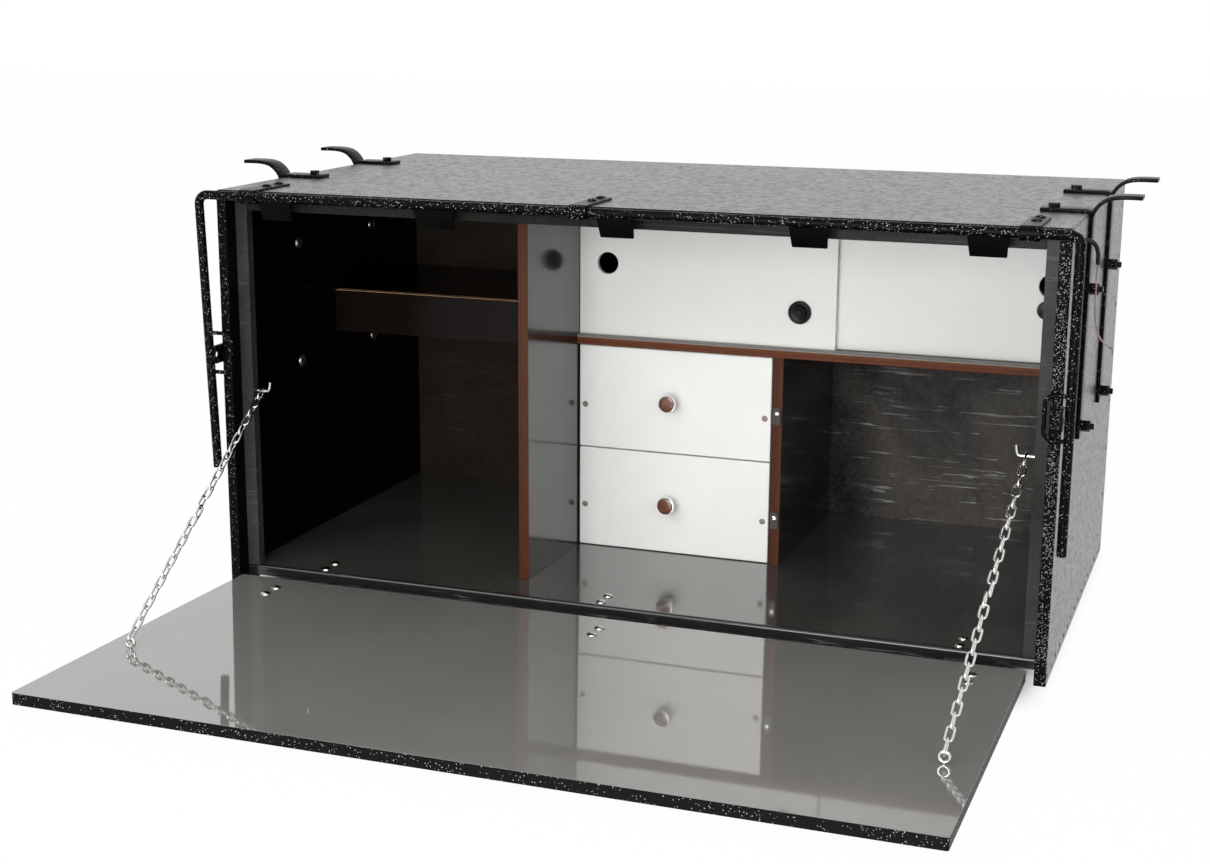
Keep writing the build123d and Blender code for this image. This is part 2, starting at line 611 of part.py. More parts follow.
def door_bolts():
    """Bolts and thin nuts that hold the hinges under the door."""
    pieces = []
    for x, y, z in hinge_spots(True):
        length = z - DOOR_LEAF_UNDER + THIN_NUT
        bolt = dome_bolt((x, y, z), (0, 0, -1), BOLT_DIA, length, BOLT_HEAD_DIA, BOLT_HEAD_TALL)
        under = (x, y, DOOR_LEAF_UNDER - THIN_NUT)
        nut = hexagon(under, (0, 0, 1), SMALL_NUT_ACROSS, THIN_NUT, BOLT_DIA / 2 + BOLT_GAP)
        pieces.extend([tilted(bolt), tilted(nut)])
    return pieces


def door_panel():
    panel = block(-DOOR_HALF, DOOR_HALF, DOOR_REAR - DOOR_LENGTH, DOOR_REAR, DOOR_UNDER, DOOR_TOP)
    corners = panel.edges().filter_by(Axis.Z).group_by(Axis.Y)[0]
    panel = fillet(corners, DOOR_ROUND)
    spots = [(x, y, DOOR_UNDER) for x, y, z in hinge_spots(True)]
    panel -= bores(spots, (0, 0, 1), DOOR_PLY, BOLT_DIA / 2 + BOLT_GAP)
    eyes = [(side * EYE_X, -EYE_BACK, DOOR_TOP - EYE_BURIED) for side in (-1, 1)]
    panel -= bores(eyes, (0, 0, 1), EYE_BURIED, EYE_WIRE / 2 + BOLT_GAP)
    return tilted(panel)


# ---- chains ----
def wire_loop(inner_length, inner_width, wire, sides=6, turns=4):
    """A closed link lying in the x-z plane, long axis along z: one half swept, then mirrored."""
    radius = (inner_width + wire) / 2
    rise = (inner_length - inner_width) / 2
    bend = [(radius * math.cos(math.pi * k / turns), 0, rise + radius * math.sin(math.pi * k / turns))
            for k in range(turns + 1)]
    path = Polyline((radius, 0, 0), *bend, (-radius, 0, 0)) if rise > 0.01 else Polyline(*bend)
    section = Plane(origin=path @ 0, z_dir=path % 0) * RegularPolygon(wire / 2, sides)
    half = sweep(section, path=path, transition=Transition.RIGHT)
    return half + mirror(half, Plane.XY)


def chain_ends(side):
    """Hook end and eye end of a chain, as points on the wires that it hangs between."""
    eye_y, eye_z = tilted_point(-EYE_BACK, EYE_Z)
    return Vector(side * HOOK_CHAIN_X, HOOK_Y, HOOK_HEIGHT), Vector(side * EYE_X, eye_y, eye_z)


def chain_halves(side):
    """Upper and lower half of a chain, as lists of links. The two middle links lie side by side."""
    hook, eye = chain_ends(side)
    along = eye - hook
    # a link's inner end lies just past the wire that it hangs on
    first = LINK_PITCH_AIM / 2 - HOOK_RADIUS - END_PLAY
    last = LINK_PITCH_AIM / 2 - EYE_WIRE / 2 - END_PLAY
    count = 2 * round(((along.length - first - last) / LINK_PITCH_AIM + 1) / 2)
    pitch = (along.length - first - last) / (count - 1)
    link = wire_loop(pitch + LINK_PLAY, LINK_INNER_WIDTH, LINK_WIRE)
    # link axis along the chain; even links stand in the swing plane, odd ones lie across it
    lean = Plane(origin=(0, 0, 0), x_dir=Vector(0, along.Z, -along.Y), z_dir=along)
    links = []
    for number in range(count):
        upper = number < count // 2
        flat = (number if upper else count - 1 - number) % 2 == 1
        place = hook + along.normalized() * (first + number * pitch)
        middle = number in (count // 2 - 1, count // 2)
        step = side * OPEN_PIVOT_STEP * (1 if upper else -1) if middle else 0.0
        frame = Plane(origin=place + Vector(step, 0, 0), x_dir=lean.x_dir, z_dir=lean.z_dir)
        links.append(frame * Rot(0, 0, 90 if flat else 0) * link)
    return links[:count // 2], links[count // 2:]


def chain_hooks():
    """Screw hooks in the inner edges of the side strips."""
    bend_x = STRIP_EDGE - HOOK_REACH
    path = FilletPolyline((STRIP_EDGE + HOOK_BURIED, HOOK_Y, HOOK_HEIGHT), (bend_x, HOOK_Y, HOOK_HEIGHT),
                          (bend_x - 2.0, HOOK_Y, HOOK_HEIGHT + HOOK_TIP), radius=HOOK_BEND)
    hook = sweep(Plane(origin=path @ 0, z_dir=path % 0) * Circle(HOOK_RADIUS), path=path)
    return [hook, mirrored(hook)]


def chain_eyes():
    """Screw eyes in the door."""
    centre = DOOR_TOP + EYE_SHOULDER + EYE_WIRE + EYE_INNER / 2
    eyes = []
    for side in (-1, 1):
        ring = Pos(side * EYE_X, -EYE_BACK, centre) * wire_loop(EYE_INNER, EYE_INNER, EYE_WIRE, turns=6)
        stem = rod((side * EYE_X, -EYE_BACK, DOOR_TOP - EYE_BURIED), (0, 0, 1), EYE_BURIED + EYE_WIRE * 0.8,
                   EYE_WIRE / 2)
        eyes.append(tilted(ring + stem))
    return eyes


# ---- lock bar ----
def bar_route():
    left_foot = (-BAR_LEFT_X + BAR_LEFT_LEAN, BAR_Y, BAR_LEFT_FOOT)
    return FilletPolyline(left_foot, (-BAR_LEFT_X, BAR_Y, BAR_Z), (BAR_RIGHT_X, BAR_Y, BAR_Z),
                          (BAR_RIGHT_X, BAR_Y, BAR_RIGHT_FOOT), radius=BAR_BEND)


def bar_rod():
    path = bar_route()
    return sweep(Plane(origin=path @ 0, z_dir=path % 0) * Circle(BAR_DIA / 2), path=path)


def bar_claws():
    """Plates welded along the bar that hold the closed door's top edge."""
    claws = []
    for x, width in zip(CLAW_XS, CLAW_WIDTHS):
        plate = block(x - width / 2, x + width / 2, -CLAW_SHEET / 2, CLAW_SHEET / 2, -CLAW_REACH, 0)
        foot = plate.edges().filter_by(Axis.Y).group_by(Axis.Z)[0]
        plate = fillet(foot, CLAW_ROUND)
        plate -= rod((x - width, 0, 0), (1, 0, 0), 2 * width, BAR_DIA / 2)
        claws.append(Pos(0, BAR_Y, BAR_Z) * Rot(CLAW_ANGLE, 0, 0) * plate)
    return claws


def arm_x(side, z):
    """Centre of an arm at a height."""
    if side > 0:
        return BAR_RIGHT_X
    return -BAR_LEFT_X + BAR_LEFT_LEAN * (BAR_Z - z) / (BAR_Z - BAR_LEFT_FOOT)


def bar_loops():
    """D-shaped staples on the arms that take the padlocks."""
    loops = []
    for side in (-1, 1):
        inner = side * LOOP_INNER_X
        path = FilletPolyline((arm_x(side, LOOP_TOP), BAR_Y, LOOP_TOP), (inner, BAR_Y, LOOP_TOP),
                              (inner, BAR_Y, LOOP_BOTTOM), (arm_x(side, LOOP_BOTTOM), BAR_Y, LOOP_BOTTOM),
                              radius=LOOP_BEND)
        loop = sweep(Plane(origin=path @ 0, z_dir=path % 0) * Circle(LOOP_WIRE / 2), path=path)
        high, low = LOOP_TOP + BAR_DIA, LOOP_BOTTOM - BAR_DIA
        arm = Polyline((arm_x(side, high), BAR_Y, high), (arm_x(side, low), BAR_Y, low))
        solid_arm = sweep(Plane(origin=arm @ 0, z_dir=arm % 0) * Circle(BAR_DIA / 2), path=arm)
        loops.append((loop - solid_arm).solids().sort_by(SortBy.VOLUME)[-1])
    return loops


def bar_straps():
    """Flat straps bolted on the top panel, rolled round the bar at their front ends."""
    inner = BAR_DIA / 2 + BAR_GAP
    outer = inner + STRAP_SHEET
    ring = Pos(BAR_Y, BAR_Z) * (Circle(outer) - Circle(inner))
    open_corner = Pos(BAR_Y + outer / 2, BAR_Z + outer / 2) * Rectangle(outer, outer)
    flat = Pos((BAR_Y + STRAP_END) / 2, HEIGHT + STRAP_SHEET / 2) * Rectangle(STRAP_END - BAR_Y, STRAP_SHEET)
    profile = (ring - open_corner) + flat
    straps = []
    for x in STRAP_XS:
        strap = extrude(Plane.YZ.offset(x - STRAP_WIDTH / 2) * profile, STRAP_WIDTH)
        strap = fillet(strap.edges().filter_by(Axis.Z).group_by(Axis.Y)[-1], PLATE_ROUND)
        holes = [(x, y, HEIGHT) for y in STRAP_BOLT_YS]
        straps.append(strap - bores(holes, (0, 0, 1), STRAP_SHEET, BOLT_DIA / 2 + BOLT_GAP))
    return straps


def strap_bolts():
    """Bolts of the bar straps, as deep as the top panel."""
    bolts = []
    length = STRAP_SHEET + PLY - STRAP_BOLT_SHORT
    for spot in strap_spots():
        bolts.append(dome_bolt(spot, (0, 0, -1), BOLT_DIA, length, BOLT_HEAD_DIA, BOLT_HEAD_TALL))
    return bolts


def lock_plates():
    """Drilled plates on the walls that a padlock ties the loops to."""
    plate = block(X_OUT, X_OUT + PLATE_SHEET, -PLATE_FRONT, PLATE_BACK, PLATE_LOW, PLATE_HIGH)
    plate = fillet(plate.edges().filter_by(Axis.X).group_by(Axis.Y)[0], PLATE_ROUND)
    middle = (PLATE_LOW + PLATE_HIGH) / 2
    plate -= rod((X_OUT, PADLOCK_HOLE_Y, middle), (1, 0, 0), PLATE_SHEET, PADLOCK_HOLE / 2)
    return [plate, mirrored(plate)]


# ---- truck-bed brackets ----
def bracket_profile():
    """Side view in the x-z plane: leg on the top, bar down the wall, hook outwards."""
    sheet = BRACKET_SHEET
    low, high = HEIGHT, HEIGHT + sheet
    near, far = X_OUT, X_OUT + sheet
    knee = (X_OUT + HOOK_RISE_X, HEIGHT + HOOK_RISE_Z)
    tip = (X_OUT + HOOK_TIP_X, HEIGHT + HOOK_TIP_Z)
    bend = BRACKET_CORNER
    angle_bar = Polyline((near, BRACKET_FOOT), (far, BRACKET_FOOT), (far, high - bend), (far - bend, high),
                         (X_OUT - BRACKET_LEG, high), (X_OUT - BRACKET_LEG, low), (near, low), close=True)
    hook = Polyline((far, low - HOOK_WELD), (knee[0], knee[1] - sheet), (tip[0], tip[1] - sheet), tip,
                    knee, (far - 2 * bend, high), (far - bend, low), close=True)
    return make_face(angle_bar) + make_face(hook)


def brackets(side):
    pieces = []
    for y in BRACKET_YS[side]:
        outline = Plane.XZ.offset(-(y + BRACKET_WIDTH / 2)) * bracket_profile()
        bracket = extrude(outline, BRACKET_WIDTH)
        spots = [(X_OUT, y, z) for z in BRACKET_BOLT_ZS]
        bracket -= bores(spots, (1, 0, 0), BRACKET_SHEET, BRACKET_BOLT_DIA / 2 + BOLT_GAP)
        bracket -= rod((X_OUT - LEG_BOLT_IN, y, HEIGHT), (0, 0, 1), BRACKET_SHEET,
                       LEG_BOLT_DIA / 2 + BOLT_GAP)
        pieces.append(bracket if side > 0 else mirrored(bracket))
    return pieces


def carriage_bolts():
    """Domed bolts from inside the box through the walls and the brackets."""
    bolts = []
    length = PLY + BRACKET_SHEET + BRACKET_STUD_OUT
    for side in (-1, 1):
        for spot in bracket_spots(side):
            bolts.append(dome_bolt(spot, (side, 0, 0), BRACKET_BOLT_DIA, length, DOME_DIA, DOME_TALL))
    return bolts


def bracket_nuts():
    """Nuts on the carriage bolts and under the top panel."""
    nuts = []
    hole = BRACKET_BOLT_DIA / 2 + BOLT_GAP
    for side in (-1, 1):
        for x, y, z in bracket_spots(side):
            start = (side * (X_OUT + BRACKET_SHEET), y, z)
            nuts.append(hexagon(start, (side, 0, 0), NUT_ACROSS, NUT_TALL, hole))
    for x, y, z in leg_spots():
        nuts.append(hexagon((x, y, TOP_UNDER), (0, 0, -1), NUT_ACROSS, NUT_TALL, LEG_BOLT_DIA / 2 + BOLT_GAP))
    return nuts


def leg_bolts():
    bolts = []
    length = BRACKET_SHEET + PLY + LEG_BOLT_BELOW
    for spot in leg_spots():
        flats = RegularPolygon(NUT_ACROSS / 2, 6, major_radius=False)
        head = Plane(origin=spot) * extrude(flats, LEG_HEAD_TALL)
        bolts.append(head + rod(spot, (0, 0, -1), length, LEG_BOLT_DIA / 2))
    return bolts


# ---- electric lead ----
def lead_origin():
    return Vector(X_OUT + GROMMET_PROUD, LEAD_EXIT_Y, LEAD_EXIT_Z)


def tube(route, diameter, name):
    """A tube along straight runs joined by tangent arcs, each as large as its runs allow."""
    points = [lead_origin() + Vector(*p) for p in route]
    radii = []
    for a, b, c in zip(points, points[1:], points[2:]):
        turn = math.radians((b - a).get_angle(c - b))
        radii.append(0.45 * min((b - a).length, (c - b).length) / math.tan(turn / 2))
    path = FilletPolyline(*points, radius=radii)
    body = sweep(Plane(origin=path @ 0, z_dir=path % 0) * Circle(diameter / 2), path=path)
    section = math.pi * diameter ** 2 / 4
    print(f"{name}: length {path.length:.1f}, radii {[round(r, 1) for r in radii]},"
          f" volume ratio {body.volume / (section * path.length):.4f}")
    return body


def lead_grommet():
    r = GROMMET_DIA / 2
    return turned((X_OUT, LEAD_EXIT_Y, LEAD_EXIT_Z), (1, 0, 0), ((r, 0), (r, 1.6), (r * 0.7, GROMMET_PROUD)))


def export_node(name, shapes):
    """Writes one node, moved so that the origin is under the middle of the whole object."""
    solids = shapes if isinstance(shapes, list) else [shapes]
    flat = []
    for shape in solids:
        flat.extend(shape.solids())
    moved = [Pos(0, Y_SHIFT, 0) * solid for solid in flat]
    node = moved[0] if len(moved) == 1 else Compound(children=moved)
    export_step(node, f"parts/{name}.step")


def main():
    os.makedirs("parts", exist_ok=True)
    nodes = {
        "top_panel": top_panel(),
        "left_wall": side_wall(-1),
        "right_wall": side_wall(1),
        "back_panel": back_panel(),
        "floor_panel": floor_panel(),
        "floor_lip": floor_lip(),
        "side_frame_strips": side_strips(),
        "top_frame_strip": top_strip(),
        "left_divider": left_divider(),
        "right_divider": right_divider(),
        "cupboard_shelf": cupboard_shelf(),
        "left_bay_shelf": bay_shelf(),
        "left_bay_fascia": bay_fascia(),
        "drawer_rails_fixed": fixed_rails(),
        "latch_screws": latch_screws(),
        "hinge_floor_leaves": hinge_leaves(False),
        "hinge_pins": hinge_pins(),
        "hinge_floor_bolts": floor_bolts(),
        "chain_hooks": chain_hooks(),
        "bar_straps": bar_straps(),
        "bar_strap_bolts": strap_bolts(),
        "lock_plates": lock_plates(),
        "brackets_left": brackets(-1),
        "brackets_right": brackets(1),
        "bracket_bolts": carriage_bolts(),
        "bracket_nuts": bracket_nuts(),
        "bracket_leg_bolts": leg_bolts(),
        "lead_grommet": lead_grommet(),
        "lead_jacket": tube(JACKET_ROUTE, JACKET_DIA, "lead_jacket"),
        "lead_wire": tube(LEAD_ROUTE, LEAD_DIA, "lead_wire"),
        "door_panel": door_panel(),
        "hinge_door_leaves": [tilted(leaf) for leaf in hinge_leaves(True)],
        "hinge_door_bolts": door_bolts(),
        "chain_eyes": chain_eyes(),
        "lock_bar_rod": bar_rod(),
        "lock_bar_claws": bar_claws(),
        "lock_bar_loops": bar_loops(),
        "slide_door_left": left_slider(),
        "slide_door_left_knob": left_slider_knob(),
        "slide_door_right": right_slider(),
        "slide_door_right_knob": right_slider_knob(),
    }
    for name, z in zip(("bottom", "top"), LATCH_HEIGHTS):
        nodes[f"turn_latch_{name}"] = latch(z)
    for name, (low, high) in DRAWERS.items():
        nodes[f"drawer_{name}_front"] = drawer_front(low, high)
        nodes[f"drawer_{name}_box"] = drawer_box(low, high)
        nodes[f"drawer_{name}_knob"] = drawer_knob(low, high)
        nodes[f"drawer_{name}_screws"] = drawer_screws(low, high)
        nodes[f"drawer_{name}_runners"] = moving_rails(low, high)
    for name, side in (("left", -1), ("right", 1)):
        upper, lower = chain_halves(side)
        nodes[f"chain_{name}_upper"] = upper
        nodes[f"chain_{name}_lower"] = lower
    for name, shapes in nodes.items():
        export_node(name, shapes)


main()
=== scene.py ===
"""Finishes, fine pieces, lights and camera of a plywood camp kitchen box with a drop-down door."""

import logging
import math
from contextlib import contextmanager
from dataclasses import dataclass
from enum import Enum
from typing import Callable, Iterator, Sequence

import bpy
from mathutils import Matrix, Vector


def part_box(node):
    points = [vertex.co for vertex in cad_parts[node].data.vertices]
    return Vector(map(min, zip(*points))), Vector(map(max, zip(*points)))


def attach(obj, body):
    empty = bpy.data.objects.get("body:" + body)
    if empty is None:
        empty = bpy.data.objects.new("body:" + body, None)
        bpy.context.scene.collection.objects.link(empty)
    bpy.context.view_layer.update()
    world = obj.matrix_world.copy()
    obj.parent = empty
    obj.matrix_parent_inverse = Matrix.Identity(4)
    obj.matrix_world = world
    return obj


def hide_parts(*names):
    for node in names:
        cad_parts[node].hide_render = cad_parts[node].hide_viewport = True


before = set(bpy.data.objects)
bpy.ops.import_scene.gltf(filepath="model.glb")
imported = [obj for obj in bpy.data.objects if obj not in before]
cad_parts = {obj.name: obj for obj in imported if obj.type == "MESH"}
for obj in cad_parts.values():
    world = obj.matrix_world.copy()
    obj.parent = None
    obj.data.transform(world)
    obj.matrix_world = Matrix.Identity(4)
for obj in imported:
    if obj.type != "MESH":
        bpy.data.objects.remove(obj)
LOG = logging.getLogger("chuck_box")
IMAGE_WIDTH = 1210
IMAGE_HEIGHT = 864
Socket = bpy.types.NodeSocket
Thing = bpy.types.Object
Material = bpy.types.Material


# ---------------------------------------------------------------- node building
class Graph:
    """A node tree that is filled by short calls, each of which returns a socket."""

    def __init__(self, tree: bpy.types.NodeTree) -> None:
        """Args:
            tree: the material's or the group's node tree.
        """
        self.tree = tree

    def add(self, kind: str, inputs: dict | None = None, **settings: object) -> bpy.types.Node:
        """Adds a node.

        Args:
            kind: the node's type name.
            inputs: values or sockets by input name or number.
            settings: the node's own properties.
        Returns:
            The new node.
        """
        node = self.tree.nodes.new(kind)
        for name, value in settings.items():
            setattr(node, name, value)
        for name, value in (inputs or {}).items():
            self.feed(node.inputs[name], value)
        return node

    def feed(self, socket: Socket, value: object) -> None:
        """Links a socket to an input, or sets the input's own value.

        Args:
            socket: the input.
            value: another node's output, or a number, a colour or a vector.
        """
        if isinstance(value, Socket):
            self.tree.links.new(value, socket)
        else:
            socket.default_value = value

    def math(self, operation: str, a: object, b: object = 0.0, clamp: bool = False) -> Socket:
        """One sum of two numbers."""
        return self.add("ShaderNodeMath", {0: a, 1: b}, operation=operation, use_clamp=clamp).outputs[0]

    def times(self, a: object, b: object, clamp: bool = False) -> Socket:
        """The product of two numbers."""
        return self.math("MULTIPLY", a, b, clamp)

    def plus(self, a: object, b: object) -> Socket:
        """Two numbers added."""
        return self.math("ADD", a, b)

    def minus(self, a: object, b: object) -> Socket:
        """The first number less the second."""
        return self.math("SUBTRACT", a, b)

    def blend(self, factor: object, a: object, b: object) -> Socket:
        """A number between two, by a factor."""
        return self.add("ShaderNodeMix", {"Factor": factor, 2: a, 3: b}, data_type="FLOAT").outputs[0]

    def tint(self, factor: object, a: object, b: object, how: str = "MIX") -> Socket:
        """A colour between two, by a factor."""
        node = self.add("ShaderNodeMix", {0: factor, 6: a, 7: b}, data_type="RGBA", blend_type=how)
        return node.outputs[2]

    def shaded(self, tone: object, shade: Socket) -> Socket:
        """A colour made lighter or darker by a number."""
        return self.add("ShaderNodeVectorMath", {0: tone, 1: shade}, operation="MULTIPLY").outputs[0]

    def noise(self, vector: object, scale: object, detail: float = 3.0, rough: float = 0.55,
              bend: float = 0.0) -> Socket:
        """Plain noise, from 0 to 1."""
        node = self.add("ShaderNodeTexNoise", {"Vector": vector, "Scale": scale, "Detail": detail,
                                               "Roughness": rough, "Distortion": bend})
        return node.outputs[0]

    def step(self, value: object, low: float, high: float) -> Socket:
        """0 below low, 1 above high and a smooth rise between them."""
        node = self.add("ShaderNodeMapRange", {"Value": value, "From Min": low, "From Max": high},
                        interpolation_type="SMOOTHSTEP")
        return node.outputs[0]

    def stretch(self, vector: object, scale: Sequence[float], turn: Sequence[float] = (0, 0, 0)) -> Socket:
        """A scaled and turned vector."""
        return self.add("ShaderNodeMapping", {"Vector": vector, "Scale": tuple(scale),
                                              "Rotation": tuple(turn)}).outputs[0]

    def place(self, kind: str = "Object") -> tuple[Socket, bpy.types.bpy_prop_collection]:
        """Texture coordinates, as a vector and as x, y and z."""
        where = self.add("ShaderNodeTexCoord").outputs[kind]
        return where, self.add("ShaderNodeSeparateXYZ", {0: where}).outputs

    def put_out(self, end: bpy.types.Node, color: Socket, roughness: Socket, height: Socket) -> None:
        """Links the three outputs of a group."""
        for name, socket in (("Color", color), ("Roughness", roughness), ("Height", height)):
            self.feed(end.inputs[name], socket)


def rgb(r: float, g: float, b: float) -> tuple[float, float, float, float]:
    """A colour with full alpha."""
    return (r, g, b, 1.0)


def grey(v: float) -> tuple[float, float, float, float]:
    """A neutral colour."""
    return rgb(v, v, v)


class Pattern(Enum):
    """The node groups that finishes are laid from."""

    COAT = "crumbled_coat"
    FILM = "board_film"
    PLIES = "cut_plies"
    METAL = "plated_metal"
    BIRCH = "birch_face"


def new_group(pattern: Pattern, inputs: dict[str, object]) -> tuple[Graph, bpy.types.Node, bpy.types.Node]:
    """Starts a shader node group that puts out a colour, a roughness and a height.

    Args:
        pattern: which group it is.
        inputs: its inputs and their values: a number, a colour, or None for a vector.
    Returns:
        The group's graph, and its input and output nodes.
    """
    group = bpy.data.node_groups.new(pattern.value, "ShaderNodeTree")
    kinds = {float: "NodeSocketFloat", tuple: "NodeSocketColor", type(None): "NodeSocketVector"}
    for label, value in inputs.items():
        socket = group.interface.new_socket(name=label, in_out="INPUT", socket_type=kinds[type(value)])
        if value is not None:
            socket.default_value = value
    for label, kind in (("Color", "NodeSocketColor"), ("Roughness", "NodeSocketFloat"),
                        ("Height", "NodeSocketFloat")):
        group.interface.new_socket(name=label, in_out="OUTPUT", socket_type=kind)
    graph = Graph(group)
    return graph, graph.add("NodeGroupInput"), graph.add("NodeGroupOutput")


def make_coat_group() -> None:
    """Sprayed bed-liner coat: rough crumbs, a share of which carry painted glints, light spots in the base
    colour.
    """
    g, i, o = new_group(Pattern.COAT, {"Vector": None, "Tone": grey(0.012), "Speck": 0.3, "Crumb": 420.0,
                                       "Depth": 0.0005, "Gloss": 0.42, "Mottle": 1.0})
    where, crumb = i.outputs["Vector"], i.outputs["Crumb"]
    coarse = g.noise(where, g.times(crumb, 0.55), detail=4.0, rough=0.62)
    fine = g.noise(where, g.times(crumb, 1.6), detail=2.0, rough=0.6)
    patch = g.noise(where, 16.0, detail=3.0, rough=0.6)
    wander = g.add("ShaderNodeTexNoise", {"Vector": where, "Scale": 300.0}).outputs["Color"]
    bent = g.add("ShaderNodeVectorMath", {0: where, 1: g.tint(1.0, grey(0.0016), wander, "MULTIPLY")},
                 operation="ADD").outputs[0]
    cell = g.add("ShaderNodeTexVoronoi", {"Vector": bent, "Scale": crumb}, voronoi_dimensions="3D")
    draw = g.add("ShaderNodeSeparateColor", {0: cell.outputs["Color"]}).outputs
    # Painted glints: a share of the crumb cells get a light grey base colour that stands in for light caught
    # on the crumbs.
    share = g.times(i.outputs["Speck"], g.blend(g.step(patch, 0.32, 0.62), 0.45, 1.25))
    tip = g.times(g.math("LESS_THAN", draw[0], share), g.math("LESS_THAN", cell.outputs["Distance"], 0.39))
    grain = g.minus(g.plus(fine, coarse), 1.0)
    shade = g.math("MAXIMUM", g.plus(g.times(grain, i.outputs["Mottle"]), 1.0), 0.05)
    g.put_out(o, g.tint(tip, g.shaded(i.outputs["Tone"], shade), g.tint(draw[1], grey(0.06), grey(0.62))),
              g.plus(i.outputs["Gloss"], g.times(coarse, 0.12)),
              g.times(g.plus(g.times(coarse, 0.6), g.times(fine, 0.4)), i.outputs["Depth"]))


def make_film_group() -> None:
    """Film-faced board: a thin glossy film with haze, smears and hair scratches."""
    g, i, o = new_group(Pattern.FILM, {"Vector": None, "Tone": grey(0.02), "Haze": 0.3, "Gloss": 0.16,
                                       "Scratch": 0.3, "Wave": 0.00004})
    where = i.outputs["Vector"]
    cloud = g.noise(where, 5.0, detail=4.0, rough=0.6, bend=0.4)
    grain = g.noise(where, 130.0, detail=3.0, rough=0.7)
    smear = g.noise(g.stretch(where, (9.0, 2.5, 6.0)), 3.0, detail=3.0, rough=0.6, bend=0.8)
    hair = g.noise(g.stretch(where, (3.0, 60.0, 60.0), (0.2, 0.3, 0.5)), 1.6, detail=4.0, rough=0.6, bend=1.8)
    hair = g.times(g.step(hair, 0.61, 0.645), g.step(cloud, 0.40, 0.60))
    hair = g.times(hair, i.outputs["Scratch"], clamp=True)
    spread = g.times(g.minus(g.plus(g.times(cloud, 2.6), grain), 1.8), i.outputs["Haze"])
    toned = g.shaded(i.outputs["Tone"], g.math("MAXIMUM", g.plus(spread, 1.0), 0.15))
    wave = g.noise(where, 22.0, detail=2.0, rough=0.5)
    g.put_out(o, g.tint(hair, toned, grey(0.30)),
              g.plus(i.outputs["Gloss"], g.times(g.step(smear, 0.45, 0.8), 0.10)),
              g.times(g.plus(wave, g.times(hair, -0.4)), i.outputs["Wave"]))


def make_ply_group() -> None:
    """Cut edge of plywood: thin layers across it, stained and a little ragged."""
    g, i, o = new_group(Pattern.PLIES, {"Vector": None, "Across": 0.0, "Plies": 480.0,
                                        "Tone": rgb(0.085, 0.026, 0.012), "Glue": rgb(0.010, 0.004, 0.003)})
    where = i.outputs["Vector"]
    ragged = g.times(g.minus(g.noise(where, 60.0, detail=4.0, rough=0.7), 0.5), 0.0011)
    layer = g.times(g.plus(i.outputs["Across"], ragged), i.outputs["Plies"])
    line = g.step(g.math("PINGPONG", layer, 0.5), 0.36, 0.47)
    lift = g.add("ShaderNodeTexWhiteNoise", {"W": g.math("FLOOR", layer)}, noise_dimensions="1D").outputs[0]
    fibre = g.noise(g.stretch(where, (22.0, 22.0, 22.0)), 18.0, detail=5.0, rough=0.7)
    shade = g.plus(g.times(lift, 0.7), g.plus(g.times(fibre, 0.7), 0.3))
    g.put_out(o, g.tint(g.times(line, 0.85), g.shaded(i.outputs["Tone"], shade), i.outputs["Glue"]),
              g.blend(fibre, 0.55, 0.35), g.times(g.minus(fibre, line), 0.00025))


def make_metal_group() -> None:
    """Plated or bare metal with fine tarnish."""
    g, i, o = new_group(Pattern.METAL, {"Vector": None, "Tone": grey(0.6), "Tarnish": 0.3, "Gloss": 0.18,
                                        "Depth": 0.00004})
    where, tone = i.outputs["Vector"], i.outputs["Tone"]
    cloud = g.noise(where, 90.0, detail=4.0, rough=0.65)
    pits = g.noise(where, 900.0, detail=2.0, rough=0.6)
    dull = g.times(g.step(cloud, 0.4, 0.75), i.outputs["Tarnish"])
    dark = g.tint(1.0, tone, rgb(0.42, 0.36, 0.30), "MULTIPLY")
    g.put_out(o, g.tint(dull, tone, dark), g.plus(i.outputs["Gloss"], g.times(dull, 0.35)),
              g.times(pits, i.outputs["Depth"]))


def make_birch_group() -> None:
    """Birch face of the drawer trays."""
    g, i, o = new_group(Pattern.BIRCH, {"Vector": None, "Tone": rgb(0.50, 0.33, 0.18)})
    where, tone = i.outputs["Vector"], i.outputs["Tone"]
    grain = g.noise(g.stretch(where, (5.0, 45.0, 45.0)), 2.0, detail=6.0, rough=0.65, bend=0.6)
    streak = g.noise(g.stretch(where, (30.0, 300.0, 300.0)), 2.0, detail=3.0, rough=0.6)
    dark = g.tint(1.0, tone, rgb(0.62, 0.52, 0.42), "MULTIPLY")
    g.put_out(o, g.tint(g.step(grain, 0.35, 0.7), tone, dark), g.blend(grain, 0.62, 0.45),
              g.times(streak, 0.00006))


# ---------------------------------------------------------------- finishes
@dataclass(frozen=True)
class Skin:
    """Sockets that a finish gives to the shader."""

    color: Socket
    roughness: Socket
    height: Socket


@dataclass(frozen=True)
class Finish:
    """A finish laid from one of the node groups."""

    pattern: Pattern
    values: tuple[tuple[str, object], ...] = ()

    def lay(self, g: Graph, where: Socket, across: Socket | None = None) -> Skin:
        """Places the group in a material.

        Args:
            g: the material's graph.
            where: the coordinates that the pattern reads.
            across: for plywood edges, the coordinate across the plies.
        Returns:
            The sockets that it puts out.
        """
        node = g.add("ShaderNodeGroup", node_tree=bpy.data.node_groups[self.pattern.value])
        for name, value in (("Vector", where), *self.values):
            g.feed(node.inputs[name], value)
        if across is not None:
            g.feed(node.inputs["Across"], across)
        return Skin(node.outputs["Color"], node.outputs["Roughness"], node.outputs["Height"])


def laid(pattern: Pattern, **values: object) -> Finish:
    """A finish with the inputs that differ from its group's own.

    Args:
        pattern: the group.
        values: the group's inputs, their names in small letters.
    Returns:
        The finish.
    """
    return Finish(pattern, tuple((name.capitalize(), value) for name, value in values.items()))
